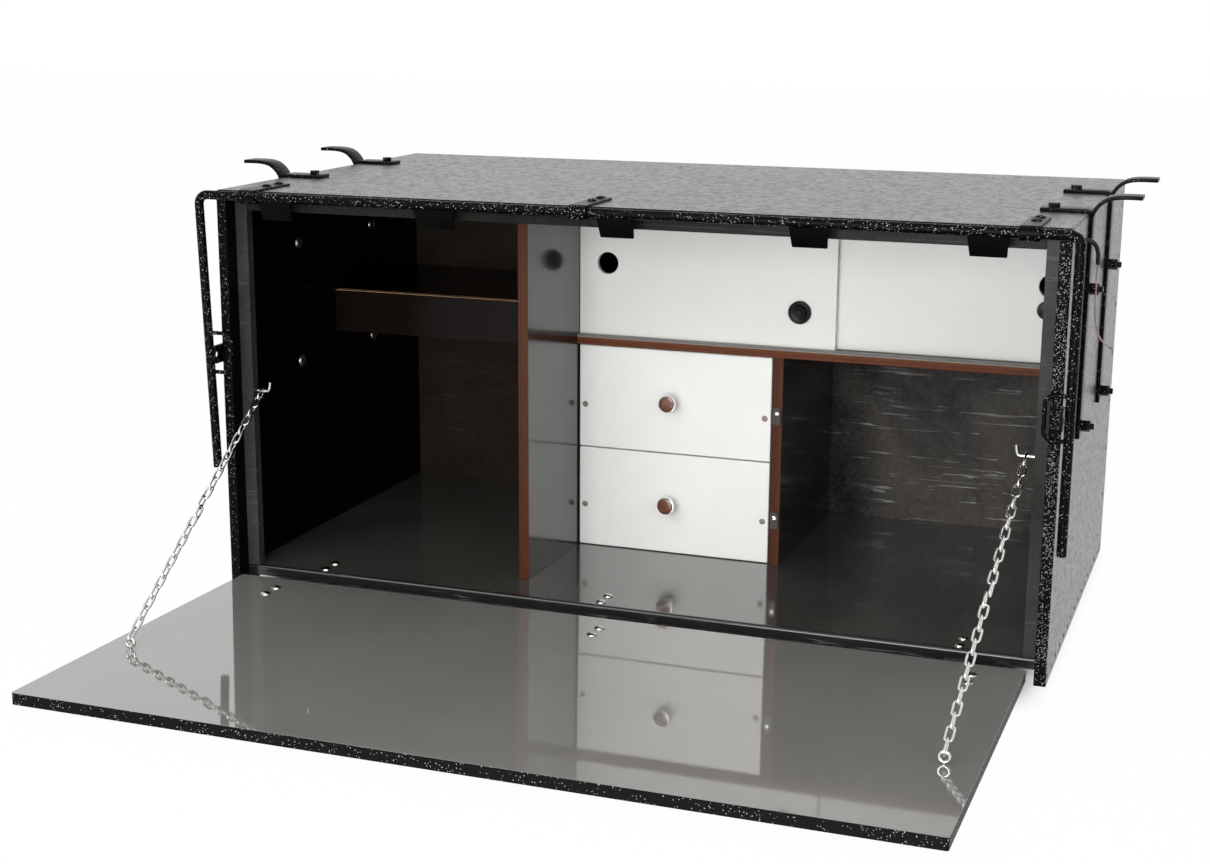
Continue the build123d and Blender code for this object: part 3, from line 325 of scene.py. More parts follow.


# Every coat finish but the claws' has some painted glints in its base colour; the right wall's front edge has
# the most, then the bar and the other front edges.
COAT = laid(Pattern.COAT, tone=rgb(0.020, 0.0195, 0.0185), speck=0.01, depth=0.0007, gloss=0.34, mottle=1.6)
# The top's coat is the walls' black coat with a lighter tone: painted sheen for the light it catches at a
# grazing angle.
COAT_TOP_PAINTED_SHEEN = laid(Pattern.COAT, tone=rgb(0.075, 0.069, 0.062), speck=0.02, crumb=300.0, depth=0.0016,
                gloss=0.40, mottle=3.0)
COAT_EDGE = laid(Pattern.COAT, tone=grey(0.001), speck=0.10, crumb=640.0, depth=0.0006, gloss=0.40)
COAT_PAINTED_SPARKLE = laid(Pattern.COAT, tone=grey(0.001), speck=0.50, crumb=600.0, depth=0.0006, gloss=0.40)
BAR_PAINT = laid(Pattern.COAT, tone=grey(0.001), speck=0.13, crumb=680.0, depth=0.0004, gloss=0.22)
BRACKET_PAINT = laid(Pattern.COAT, tone=grey(0.001), speck=0.05, crumb=680.0, depth=0.0004, gloss=0.24)
CLAW_PAINT = laid(Pattern.COAT, tone=grey(0.001), speck=0.0, depth=0.0003, gloss=0.40)
# The board's dark film, darkened to near black: partly its own colour, partly painted shade for the inside of
# the box, under the top and on the inner walls and partitions.
SHADE_DARKENED_FILM = laid(Pattern.FILM, tone=rgb(0.0016, 0.0014, 0.0012), haze=0.35, gloss=0.16, scratch=0.02)
DIVIDER_FILM = laid(Pattern.FILM, tone=rgb(0.006, 0.006, 0.0055), haze=0.4, gloss=0.17, scratch=0.0)
FASCIA_FILM = laid(Pattern.FILM, tone=rgb(0.0070, 0.0040, 0.0030), haze=0.5, gloss=0.24, scratch=0.02,
                   wave=0.00005)
BACK_FILM = laid(Pattern.FILM, tone=rgb(0.0210, 0.0155, 0.0115), haze=0.7, gloss=0.22, scratch=0.05,
                 wave=0.00005)
WORN_FILM = laid(Pattern.FILM, tone=rgb(0.037, 0.033, 0.029), haze=2.2, gloss=0.24, scratch=0.95,
                 wave=0.00008)
FLOOR_FILM = laid(Pattern.FILM, tone=rgb(0.052, 0.050, 0.045), haze=0.4, gloss=0.10, scratch=0.05)
DOOR_FILM = laid(Pattern.FILM, tone=rgb(0.205, 0.199, 0.188), haze=0.10, gloss=0.045, scratch=0.04,
                 wave=0.00007)
STRIP_FILM = laid(Pattern.FILM, tone=rgb(0.034, 0.034, 0.032), haze=0.7, gloss=0.26, scratch=0.10,
                  wave=0.00005)
TOP_STRIP_FILM = laid(Pattern.FILM, tone=rgb(0.016, 0.016, 0.015), haze=0.7, gloss=0.26, scratch=0.10)
LIP_FILM = laid(Pattern.FILM, tone=grey(0.012), haze=0.5, gloss=0.22)
WHITE_FILM = laid(Pattern.FILM, tone=rgb(0.80, 0.80, 0.775), haze=0.05, gloss=0.30, scratch=0.0,
                  wave=0.00003)
FRONT_FILM = laid(Pattern.FILM, tone=rgb(0.845, 0.845, 0.82), haze=0.04, gloss=0.28, scratch=0.0,
                  wave=0.00003)
PLY_EDGE = laid(Pattern.PLIES)
SHELF_PLY = laid(Pattern.PLIES, tone=rgb(0.150, 0.046, 0.020), plies=620.0)
GREY_PLY = laid(Pattern.PLIES, tone=rgb(0.270, 0.262, 0.245), glue=rgb(0.035, 0.034, 0.032), plies=900.0)
BIRCH_EDGE = laid(Pattern.PLIES, tone=rgb(0.48, 0.30, 0.17), glue=rgb(0.16, 0.09, 0.05))
BIRCH = laid(Pattern.BIRCH)
ZINC = laid(Pattern.METAL, tone=rgb(0.72, 0.71, 0.69), tarnish=0.35, gloss=0.14)
DULL_ZINC = laid(Pattern.METAL, tone=rgb(0.50, 0.48, 0.45), tarnish=0.6, gloss=0.28)
CHROME = laid(Pattern.METAL, tone=rgb(0.80, 0.79, 0.77), tarnish=0.15, gloss=0.07)
SCREW_STEEL = laid(Pattern.METAL, tone=rgb(0.26, 0.20, 0.18), tarnish=0.5, gloss=0.34)
BLACK_SATIN = laid(Pattern.METAL, tone=grey(0.010), tarnish=0.2, gloss=0.24, depth=0.00006)
KNOB_CAP = laid(Pattern.METAL, tone=rgb(0.135, 0.038, 0.017), tarnish=0.35, gloss=0.22)
WIRE_COAT = laid(Pattern.METAL, tone=rgb(0.36, 0.24, 0.22), tarnish=0.8, gloss=0.35)
COPPER = laid(Pattern.METAL, tone=rgb(0.20, 0.13, 0.09), tarnish=0.7, gloss=0.35)


class Axis(Enum):
    """The axis that a zone is measured along."""

    X = 0
    Y = 1
    Z = 2


@dataclass(frozen=True)
class Zone:
    """Part of a board with its own finish, such as its cut front edge or its underside."""

    finish: Finish
    axis: Axis
    edge: float
    below: bool = True
    mirrored: bool = False
    plies: Axis | None = None


@dataclass(frozen=True)
class Gloss:
    """The shader's own constants, and how crumbs break its clear layer."""

    metallic: float = 0.0
    specular: float = 0.5
    coat: float = 0.0
    coat_roughness: float = 0.05
    coat_break: float = 0.0
    crumb_scale: float = 170.0


def blank_material(name: str) -> tuple[Material, Graph]:
    """Starts a material with no nodes.

    Args:
        name: the material's name.
    Returns:
        The material, and the graph that fills it.
    """
    made = bpy.data.materials.new(name)
    made.use_nodes = True
    made.node_tree.nodes.clear()
    return made, Graph(made.node_tree)


def material(name: str, base: Finish, gloss: Gloss = Gloss(), zones: Sequence[Zone] = ()) -> Material:
    """Makes a material from a finish and the zones over it.

    Args:
        name: the material's name.
        base: the finish everywhere else.
        gloss: the shader's constants.
        zones: parts of the piece with another finish, the last on top.
    Returns:
        The material.
    """
    made, g = blank_material(name)
    where, split = g.place()
    skin = base.lay(g, where)
    clear = gloss.coat
    if gloss.coat_break:
        crumbs = g.noise(where, gloss.crumb_scale, detail=4.0, rough=0.68)
        clear = g.blend(g.step(crumbs, 0.40, 0.56), gloss.coat * (1.0 - gloss.coat_break), gloss.coat)
    for zone in zones:
        other = zone.finish.lay(g, where, split[zone.plies.value] if zone.plies else None)
        place = split[zone.axis.value]
        if zone.mirrored:
            place = g.math("ABSOLUTE", place)
        mask = g.math("LESS_THAN" if zone.below else "GREATER_THAN", place, zone.edge)
        skin = Skin(g.tint(mask, skin.color, other.color), g.blend(mask, skin.roughness, other.roughness),
                    g.blend(mask, skin.height, other.height))
        if gloss.coat:
            clear = g.blend(mask, clear, 0.0)
    bump = g.add("ShaderNodeBump", {"Height": skin.height, "Distance": 1.0, "Strength": 1.0})
    shader = g.add("ShaderNodeBsdfPrincipled", {
        "Base Color": skin.color, "Roughness": skin.roughness, "Normal": bump.outputs[0],
        "Metallic": gloss.metallic, "Specular IOR Level": gloss.specular, "IOR": 1.5,
        "Coat Weight": clear, "Coat Roughness": gloss.coat_roughness})
    g.feed(g.add("ShaderNodeOutputMaterial").inputs["Surface"], shader.outputs[0])
    return made


def dress(nodes: Sequence[str], made: Material) -> None:
    """Gives CAD nodes a material.

    Args:
        nodes: the nodes' names.
        made: the material.
    """
    for name in nodes:
        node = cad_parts[name]
        node.data.materials.clear()
        node.data.materials.append(made)


def soften(names: Sequence[str], width: float) -> None:
    """Rounds the sharp edges of board-like nodes with live modifiers; their meshes stay as they are.

    Args:
        names: the nodes' names.
        width: the width of the rounding.
    """
    for name in names:
        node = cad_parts[name]
        weld = node.modifiers.new("close_seams", "WELD")
        weld.merge_threshold = 1e-5
        round_over = node.modifiers.new("round_over", "BEVEL")
        round_over.width = width
        round_over.segments = 2
        round_over.limit_method = "ANGLE"
        round_over.angle_limit = math.radians(50)
        round_over.harden_normals = True


# ---------------------------------------------------------------- mesh building
def deselect() -> None:
    """Leaves object mode with nothing selected."""
    if bpy.context.object and bpy.context.object.mode != "OBJECT":
        bpy.ops.object.mode_set(mode="OBJECT")
    bpy.ops.object.select_all(action="DESELECT")


def pick(obj: Thing) -> None:
    """Selects one object alone and makes it active.

    Args:
        obj: the object.
    """
    deselect()
    obj.select_set(True)
    bpy.context.view_layer.objects.active = obj


@contextmanager
def editing(obj: Thing) -> Iterator[None]:
    """Edit mode on one object, as long as a with block runs.

    Args:
        obj: the mesh object.
    """
    pick(obj)
    bpy.ops.object.mode_set(mode="EDIT")
    yield
    bpy.ops.object.mode_set(mode="OBJECT")


def choose_points(obj: Thing, test: Callable[[Vector], bool]) -> None:
    """Selects the vertices that pass a test, from edit mode.

    Args:
        obj: the mesh object in edit mode.
        test: takes a vertex's place and says whether it is selected.
    """
    bpy.ops.mesh.select_all(action="DESELECT")
    bpy.ops.object.mode_set(mode="OBJECT")
    for vertex in obj.data.vertices:
        vertex.select = bool(test(vertex.co))
    bpy.ops.object.mode_set(mode="EDIT")


def extrude(run: tuple[float, float, float]) -> None:
    """Extrudes what is selected along a vector."""
    bpy.ops.mesh.extrude_region_move(TRANSFORM_OT_translate={"value": run})


def face_outwards() -> None:
    """Selects the whole mesh in edit mode and points its faces outwards."""
    bpy.ops.mesh.select_all(action="SELECT")
    bpy.ops.mesh.normals_make_consistent(inside=False)


def smooth_shade(obj: Thing, angle: float) -> None:
    """Shades the edges that are flatter than an angle, in degrees, as smooth."""
    pick(obj)
    bpy.ops.object.shade_smooth_by_angle(angle=math.radians(angle))


def turned(name: str, profile: Sequence[tuple[float, float]], sides: int = 40, smooth: float = 35.0) -> Thing:
    """Turns a piece about +Z from a ring that is extruded and sized step by step.

    Args:
        name: the piece's name.
        profile: radius and height of each ring, from the foot up.
        sides: faces round the piece.
        smooth: edges flatter than this angle, in degrees, are shaded smooth.
    Returns:
        The closed piece, at the origin.
    """
    deselect()
    radius, height = profile[0]
    bpy.ops.mesh.primitive_circle_add(vertices=sides, radius=radius, fill_type="NGON", location=(0, 0, 0))
    piece = bpy.context.object
    piece.name = name
    with editing(piece):
        bpy.ops.mesh.select_all(action="SELECT")
        bpy.ops.transform.translate(value=(0, 0, height))
        for next_radius, next_height in profile[1:]:
            extrude((0, 0, next_height - height))
            ratio = next_radius / radius
            bpy.ops.transform.resize(value=(ratio, ratio, 1.0), center_override=(0, 0, next_height))
            radius, height = next_radius, next_height
        face_outwards()
    smooth_shade(piece, smooth)
    return piece


def ring(middle: float, wire: float, around: int, sides: int) -> Thing:
    """A round ring of wire in the x-z plane, about the origin.

    Args:
        middle: radius of the wire's middle line.
        wire: the wire's diameter.
        around: faces round the ring.
        sides: faces round the wire.
    Returns:
        The ring.
    """
    deselect()
    bpy.ops.mesh.primitive_torus_add(major_radius=middle, minor_radius=wire / 2, major_segments=around,
                                     minor_segments=sides, rotation=(math.radians(90), 0, 0))
    bpy.ops.object.transform_apply(location=True, rotation=True, scale=True)
    return bpy.context.object


def facing(start: Vector, axis: Vector) -> Matrix:
    """A matrix that takes +Z to an axis and the origin to a point."""
    return Matrix.Translation(start) @ axis.normalized().to_track_quat("Z", "Y").to_matrix().to_4x4()


def join(parts: Sequence[Thing], name: str) -> Thing:
    """Joins pieces into the first of them.

    Args:
        parts: the pieces.
        name: the joined piece's name.
    Returns:
        The joined piece.
    """
    deselect()
    for part in parts:
        part.select_set(True)
    bpy.context.view_layer.objects.active = parts[0]
    if len(parts) > 1:
        bpy.ops.object.join()
    parts[0].name = name
    return parts[0]


def copies(model: Thing, places: Sequence[Matrix], name: str) -> Thing:
    """Joins copies of a model, each with its own mesh, and removes the model.

    Args:
        model: the piece at the origin.
        places: where each copy stands.
        name: the joined piece's name.
    Returns:
        One object at the origin that holds all the copies.
    """
    made = []
    for place in places:
        copy = model.copy()
        copy.data = model.data.copy()
        copy.data.transform(place)
        bpy.context.scene.collection.objects.link(copy)
        made.append(copy)
    bpy.data.objects.remove(model)
    return join(made, name)


def ease_edges(piece: Thing, width: float, angle: float, smooth: float = 38.0) -> None:
    """Bevels the sharp edges for good and shades the piece.

    Args:
        piece: the piece, with any earlier modifier applied.
        width: the bevel's width.
        angle: edges sharper than this, in degrees, are bevelled.
        smooth: edges flatter than this, in degrees, are shaded smooth.
    """
    ease = piece.modifiers.new("edges", "BEVEL")
    ease.width = width
    ease.segments = 2
    ease.limit_method = "ANGLE"
    ease.angle_limit = math.radians(angle)
    pick(piece)
    bpy.ops.object.modifier_apply(modifier="edges")
    smooth_shade(piece, smooth)


def settle(piece: Thing, body: str, slot: str, made: Material | None, *nodes: str) -> Thing:
    """Gives a finished piece its material and body.

    Args:
        piece: the piece, in its place.
        body: the body that it rides on.
        slot: not used.
        made: its material, or None where it has its own.
        nodes: the CAD nodes that it stands for.
    Returns:
        The piece.
    """
    if made is not None:
        piece.data.materials.clear()
        piece.data.materials.append(made)
    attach(piece, body)
    if nodes:
        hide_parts(*nodes)
    LOG.info("made %s", piece.name)
    return piece


# ---------------------------------------------------------------- the box
@dataclass
class Carcass:
    """Walls, top, floor, partitions and strips."""

    skin: float = 0.0006
    coated_edge: float = 0.003
    round_over: float = 0.0008
    grey_plies: float = 0.0042

    def dress(self) -> None:
        """Gives every board its faces and its cut edges."""
        self.shell()
        self.partitions()
        self.front_frame()
        soften(("left_divider", "right_divider", "cupboard_shelf", "left_bay_fascia", "left_bay_shelf",
                "top_frame_strip"), self.round_over)
        LOG.info("dressed the carcass")

    def shell(self) -> None:
        """Coated outside, film-faced inside; the inner film is darkened to near black, partly its own dark
        colour and partly painted shade.
        """
        low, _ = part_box("top_panel")
        sheen = Gloss(specular=0.06, coat=0.93, coat_roughness=0.30, coat_break=0.50, crumb_scale=105.0)
        # The top's lighter coat tone is painted sheen.
        dress(("top_panel",), material("coated_top_painted_sheen", COAT_TOP_PAINTED_SHEEN, sheen, (
            Zone(COAT_EDGE, Axis.Y, low.y + self.coated_edge), Zone(SHADE_DARKENED_FILM, Axis.Z, low.z + self.skin))))
        low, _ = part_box("right_wall")
        sheen = Gloss(specular=0.06, coat=1.0, coat_roughness=0.34, coat_break=0.52, crumb_scale=150.0)
        # The walls' front edges carry painted glints, the right wall's the most.
        for name, edge in (("right_wall", COAT_PAINTED_SPARKLE), ("left_wall", COAT_EDGE)):
            dress((name,), material(f"coated_{name}", COAT, sheen, (
                Zone(edge, Axis.Y, low.y + self.coated_edge),
                Zone(SHADE_DARKENED_FILM, Axis.X, low.x + self.skin, mirrored=True))))
        low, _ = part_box("back_panel")
        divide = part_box("right_divider")[0].x
        back = material("back_board", COAT, Gloss(specular=0.08), (
            Zone(WORN_FILM, Axis.X, divide, below=False), Zone(BACK_FILM, Axis.X, divide),
            Zone(COAT, Axis.Y, low.y + self.skin, below=False)))
        dress(("back_panel",), back)
        floor = material("floor_board", FLOOR_FILM, Gloss(specular=0.6, coat=0.6, coat_roughness=0.06))
        dress(("floor_panel",), floor)

    def partitions(self) -> None:
        """Dark faces with stained plywood edges."""
        film = Gloss(specular=0.15, coat=0.75, coat_roughness=0.12)
        # The right divider, the shelf's underside and the bay shelf take the near-black film, which is partly
        # painted shade.
        for name, face in (("left_divider", DIVIDER_FILM), ("right_divider", SHADE_DARKENED_FILM)):
            dress((name,), material(f"{name}_board", face, film, (
                Zone(PLY_EDGE, Axis.Y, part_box(name)[0].y + self.skin, plies=Axis.X),)))
        low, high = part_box("cupboard_shelf")
        dress(("cupboard_shelf",), material("cupboard_shelf_board", STRIP_FILM, film, (
            Zone(SHADE_DARKENED_FILM, Axis.Z, low.z + self.skin),
            Zone(SHELF_PLY, Axis.Y, low.y + self.skin, plies=Axis.Z),
            Zone(GREY_PLY, Axis.Z, high.z - self.grey_plies, below=False, plies=Axis.Z))))
        dress(("left_bay_shelf",), material("bay_shelf_board", SHADE_DARKENED_FILM, Gloss(specular=0.3)))
        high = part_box("left_bay_fascia")[1]
        dress(("left_bay_fascia",), material("bay_fascia_board", FASCIA_FILM, Gloss(specular=0.12), (
            Zone(BIRCH_EDGE, Axis.Z, high.z - self.skin, below=False, plies=Axis.Y),)))

    def front_frame(self) -> None:
        """Grey strips round the opening and the rounded lip of the floor."""
        dress(("side_frame_strips",), material("side_strips", STRIP_FILM, Gloss(specular=0.1)))
        dress(("top_frame_strip",), material("top_strip", TOP_STRIP_FILM, Gloss(specular=0.06)))
        dress(("floor_lip",), material("lip_strip", LIP_FILM, Gloss(specular=0.6, coat=0.3)))


@dataclass
class Door:
    """The drop-down door: glossy film on the work surface, coated below and round the edges."""

    tilt: float = math.radians(1.0)
    film: float = 0.0004
    specular: float = 0.12
    clear_roughness: float = 0.03
    clear_ior: float = 1.9

    def dress(self) -> None:
        """The work surface is told from the edges by its height over the tilted plane."""
        hinged_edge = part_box("door_panel")[1].y
        made, g = blank_material("door_board")
        where, split = g.place()
        run = g.minus(hinged_edge, split[1])
        rise = g.minus(split[2], g.times(run, math.tan(self.tilt)))
        top = g.math("GREATER_THAN", rise, self.height_at(hinged_edge) - self.film)
        film = DOOR_FILM.lay(g, where)
        coat = COAT_EDGE.lay(g, where)
        bump = g.add("ShaderNodeBump", {"Height": g.blend(top, coat.height, film.height), "Distance": 1.0})
        shader = g.add("ShaderNodeBsdfPrincipled", {
            "Base Color": g.tint(top, coat.color, film.color),
            "Roughness": g.blend(top, coat.roughness, film.roughness),
            "Coat Weight": top, "Normal": bump.outputs[0], "Specular IOR Level": self.specular,
            "Coat Roughness": self.clear_roughness, "Coat IOR": self.clear_ior})
        g.feed(g.add("ShaderNodeOutputMaterial").inputs["Surface"], shader.outputs[0])
        dress(("door_panel",), made)
        LOG.info("dressed the door")

    def height_at(self, y: float, reach: float = 0.001) -> float:
        """Height of the work surface along a line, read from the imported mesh.

        Args:
            y: the line's place.
            reach: how far from it a point still counts.
        Returns:
            The highest point's z.
        """
        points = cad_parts["door_panel"].data.vertices
        return max(point.co.z for point in points if abs(point.co.y - y) < reach)


@dataclass
class Nails:
    """Heads of the nails that hold the floor and the back between the walls."""

    radius: float = 0.0019
    tall: float = 0.0006
    long: float = 1.7
    edge: float = 0.011
    back_edge: float = 0.0242
    floor_count: int = 16
    back_count: int = 7

    def build(self) -> None:
        """Two rows on each wall."""
        paint = material("nail_paint", BLACK_SATIN, Gloss(specular=0.1))
        r, t = self.radius, self.tall
        head = turned("nail", ((r, 0.0), (r, t * 0.4), (r * 0.75, t * 0.85), (r * 0.2, t)), sides=12,
                      smooth=60.0)
        places = []
        for side, name in ((-1, "left_wall"), (1, "right_wall")):
            low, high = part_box(name)
            x = low.x if side < 0 else high.x
            run = (high.y - low.y - 2 * self.edge) / (self.floor_count - 1)
            spots = [(low.y + self.edge + run * number, low.z + self.edge)
                     for number in range(self.floor_count)]
            rise = (high.z - low.z - 4 * self.edge) / self.back_count
            spots += [(high.y - self.back_edge, low.z + 2 * self.edge + rise * number)
                      for number in range(1, self.back_count + 1)]
            places += [facing(Vector((x, y, z)), Vector((side, 0, 0)))
                       @ Matrix.Diagonal((1.0, self.long, 1.0, 1.0)) for y, z in spots]
        settle(copies(head, places, "wall_nails"), "cabinet", "black_steel", paint)


@dataclass
class Hinges:
    """Strap hinges with their bolts, under the door and the floor."""

    def dress(self) -> None:
        """Black leaves, bright bolts and pins."""
        dress(("hinge_floor_leaves", "hinge_door_leaves"), material("hinge_paint", BAR_PAINT))
        bright = material("bright_bolts", ZINC, Gloss(metallic=1.0))
        dress(("hinge_floor_bolts", "hinge_door_bolts", "hinge_pins"), bright)
        LOG.info("dressed the hinges")


@dataclass
class Chains:
    """The two door chains: welded links, screw hooks and screw eyes."""

    count: int = 26
    hook_x: float = 0.540
    hook_z: float = 0.287
    eye_x: float = 0.520
    hook_radius: float = 0.0022
    eye_wire: float = 0.0036
    eye_inner: float = 0.0084
    end_play: float = 0.0006
    pitch_aim: float = 0.0178
    link_play: float = 0.00035
    link_inner: float = 0.0060
    link_wire: float = 0.0030
    side_step: float = 0.0019
    shank_foot: float = 0.012
    collar: float = 0.62
    collar_below: float = 0.0008
    collar_above: float = 0.0004

    def build(self) -> None:
        """Links, eyes and the bright hooks."""
        chrome = material("chain_plating", CHROME, Gloss(metallic=1.0))
        dress(("chain_hooks",), chrome)
        for name, side in (("left", -1), ("right", 1)):
            self.links(name, side, chrome)
        self.eyes(chrome)

    def ends(self, side: int) -> tuple[Vector, Vector]:
        """Finds what a chain hangs between.

        Args:
            side: 1 for the right chain, -1 for the left.
        Returns:
            The centres of the hook's shank and of the eye's top wire.
        """
        hook_low, hook_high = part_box("chain_hooks")
        eye_low, eye_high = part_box("chain_eyes")
        hook = Vector((side * self.hook_x, (hook_low.y + hook_high.y) / 2, self.hook_z))
        eye = Vector((side * self.eye_x, (eye_low.y + eye_high.y) / 2, eye_high.z - self.eye_wire / 2))
        return hook, eye

    def link(self, pitch: float) -> Thing:
        """One link in the x-z plane, its long axis along z.

        Args:
            pitch: how far the next link's centre is.
        Returns:
            The link, about the origin.
        """
        piece = ring((self.link_inner + self.link_wire) / 2, self.link_wire, around=24, sides=10)
        rise = (pitch + self.link_play - self.link_inner) / 2
        with editing(piece):
            for sign in (1, -1):
                choose_points(piece, lambda p, s=sign: p.z * s > 1e-6)
                bpy.ops.transform.translate(value=(0, 0, sign * rise))
        pick(piece)
        bpy.ops.object.shade_smooth()
        return piece

    def links(self, name: str, side: int, chrome: Material) -> None:
        """Both halves of one chain.

        Args:
            name: left or right.
            side: 1 for the right chain, -1 for the left.
            chrome: the links' material.
        """
        hook, eye = self.ends(side)
        along = eye - hook
        first = self.pitch_aim / 2 - self.hook_radius - self.end_play
        last = self.pitch_aim / 2 - self.eye_wire / 2 - self.end_play
        pitch = (along.length - first - last) / (self.count - 1)
        run = along.normalized()
        swing = Vector((0, along.z, -along.y)).normalized()
        across = run.cross(swing)
        half = self.count // 2
        for part, numbers in (("upper", range(half)), ("lower", range(half, self.count))):
            places = []
            for number in numbers:
                from_end = number if part == "upper" else self.count - 1 - number
                step = 0.0
                if number in (half - 1, half):
                    step = side * self.side_step * (1 if part == "upper" else -1)
                centre = hook + run * (first + number * pitch) + Vector((step, 0, 0))
                wide = across if from_end % 2 else swing
                thin = run.cross(wide)
                turn = Matrix((wide, thin, run)).transposed().to_4x4()
                places.append(Matrix.Translation(centre) @ turn)
            chain = copies(self.link(pitch), places, f"{name}_chain_{part}_links")
            settle(chain, f"chain_{name}_{part}_half", "zinc_steel", chrome, f"chain_{name}_{part}")

    def eyes(self, chrome: Material) -> None:
        """Screw eyes with a shank that enters the door.

        Args:
            chrome: their material.
        """
        wire = self.eye_wire
        middle = (self.eye_inner + wire) / 2
        loop = ring(middle, wire, around=32, sides=12)
        shank = turned("shank", ((wire / 2, -self.shank_foot), (wire / 2, -middle - self.collar_below),
                                 (wire * self.collar, -middle + self.collar_above)), sides=20)
        eye = join((loop, shank), "screw_eye")
        bpy.ops.object.shade_smooth()
        places = [Matrix.Translation(self.ends(side)[1] - Vector((0, 0, middle))) for side in (-1, 1)]
        settle(copies(eye, places, "screw_eyes"), "front_door", "zinc_steel", chrome, "chain_eyes")


@dataclass
class LockBar:
    """The bent bar with its claws, loops, straps and lock plates."""

    bar_radius: float = 0.00635
    claw_xs: tuple[float, ...] = (-0.488, -0.248, 0.009, 0.264, 0.485)
    claw_widths: tuple[float, ...] = (0.050, 0.058, 0.050, 0.050, 0.050)
    claw_sheet: float = 0.004
    claw_reach: float = 0.0345
    claw_angle: float = 22.0
    claw_taper: float = 0.0050
    claw_root: float = 0.9
    claw_round: float = 0.0005

    def dress(self) -> None:
        """One thick glossy paint over all of it."""
        # The bar paint has painted glints, light spots in its black base colour.
        paint = material("bar_paint", BAR_PAINT, Gloss(specular=0.07))
        dress(("lock_bar_rod", "lock_bar_loops", "bar_straps", "bar_strap_bolts", "lock_plates",
               "bracket_nuts", "bracket_leg_bolts"), paint)
        self.claws()

    def claws(self) -> None:
        """Plates welded under the bar, a little narrower at their feet."""
        low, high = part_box("lock_bar_rod")
        axis_y, axis_z = (low.y + high.y) / 2, high.z - self.bar_radius
        tilt = Matrix.Rotation(math.radians(self.claw_angle), 4, "X")
        plates = []
        for x, width in zip(self.claw_xs, self.claw_widths):
            plate = self.claw(width)
            plate.data.transform(Matrix.Translation((x, axis_y, axis_z)) @ tilt)
            plates.append(plate)
        settle(join(plates, "bar_claw_plates"), "lock_bar", "black_steel",
               material("claw_paint", CLAW_PAINT, Gloss(specular=0.05)), "lock_bar_claws")

    def claw(self, width: float) -> Thing:
        """One plate that hangs from the origin along -Z.

        Args:
            width: its width where it leaves the bar.
        Returns:
            The plate, with eased edges.
        """
        deselect()
        bpy.ops.mesh.primitive_plane_add(size=1.0, location=(0, 0, 0))
        piece = bpy.context.object
        root = -self.bar_radius * self.claw_root
        with editing(piece):
            bpy.ops.mesh.select_all(action="SELECT")
            bpy.ops.transform.resize(value=(width, self.claw_sheet, 1.0), center_override=(0, 0, 0))
            bpy.ops.transform.translate(value=(0, 0, root))
            extrude((0, 0, -self.claw_reach - root))
            taper = 1.0 - self.claw_taper / width
            bpy.ops.transform.resize(value=(taper, 1.0, 1.0), center_override=(0, 0, -self.claw_reach))
            face_outwards()
        ease_edges(piece, self.claw_round, angle=30.0)
        return piece


@dataclass
class Brackets:
    """Flat bars over the top and down the walls, each with a hook that curls outwards."""

    sheet: float = 0.005
    width: float = 0.032
    wall: float = 0.584
    top: float = 0.576
    leg: float = 0.062
    bend: float = 0.004
    bend_in: float = 0.0006
    bend_down: float = 0.0018
    edge_round: float = 0.0007
    curl: tuple[tuple[float, float], ...] = (
        (0.5870, 0.5720), (0.5885, 0.5768), (0.5912, 0.5818), (0.5950, 0.5866), (0.5998, 0.5908),
        (0.6058, 0.5942), (0.6130, 0.5962), (0.6215, 0.5971), (0.6310, 0.5974), (0.6478, 0.5972))

    def build(self) -> None:
        """Two brackets on each wall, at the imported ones' places."""
        paint = material("bracket_paint", BRACKET_PAINT, Gloss(specular=0.09))
        for name, side in (("left", -1), ("right", 1)):
            low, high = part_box(f"brackets_{name}")
            out, over = self.wall + self.sheet / 2, self.top + self.sheet / 2
            bar = ((self.wall - self.leg, over), (self.wall - self.bend, over),
                   (out - self.bend_in, over - self.bend_down), (out, self.top - self.bend), (out, low.z))
            parts = [self.ribbon(f"{name}_bracket_{number}", path, side, front)
                     for front in (low.y, high.y - self.width)
                     for number, path in enumerate((bar, self.curl))]
            settle(join(parts, f"{name}_brackets"), "cabinet", "black_steel", paint, f"brackets_{name}")

    def ribbon(self, name: str, path: Sequence[tuple[float, float]], side: int, front: float) -> Thing:
        """A flat bar along a path in the x-z plane.

        Args:
            name: the piece's name.
            path: x and z of the bar's middle, on the right-hand wall.
            side: 1 for the right wall, -1 for the left.
            front: y of the bar's front edge.
        Returns:
            The bar, with rounded edges.
        """
        deselect()
        bpy.ops.mesh.primitive_plane_add(size=0.001)
        piece = bpy.context.object
        piece.name = name
        with editing(piece):
            bpy.ops.mesh.select_all(action="SELECT")
            bpy.ops.mesh.merge(type="CENTER")
            x, z = path[0]
            bpy.ops.transform.translate(value=(side * x, front, z))
            for next_x, next_z in path[1:]:
                bpy.ops.mesh.extrude_vertices_move(
                    TRANSFORM_OT_translate={"value": (side * (next_x - x), 0, next_z - z)})
                x, z = next_x, next_z
            bpy.ops.mesh.select_all(action="SELECT")
            extrude((0, self.width, 0))
        thick = piece.modifiers.new("thickness", "SOLIDIFY")
        thick.thickness = self.sheet
        thick.offset = 0.0
        thick.use_even_offset = True
        bpy.ops.object.modifier_apply(modifier="thickness")
        ease_edges(piece, self.edge_round, angle=40.0)
        return piece


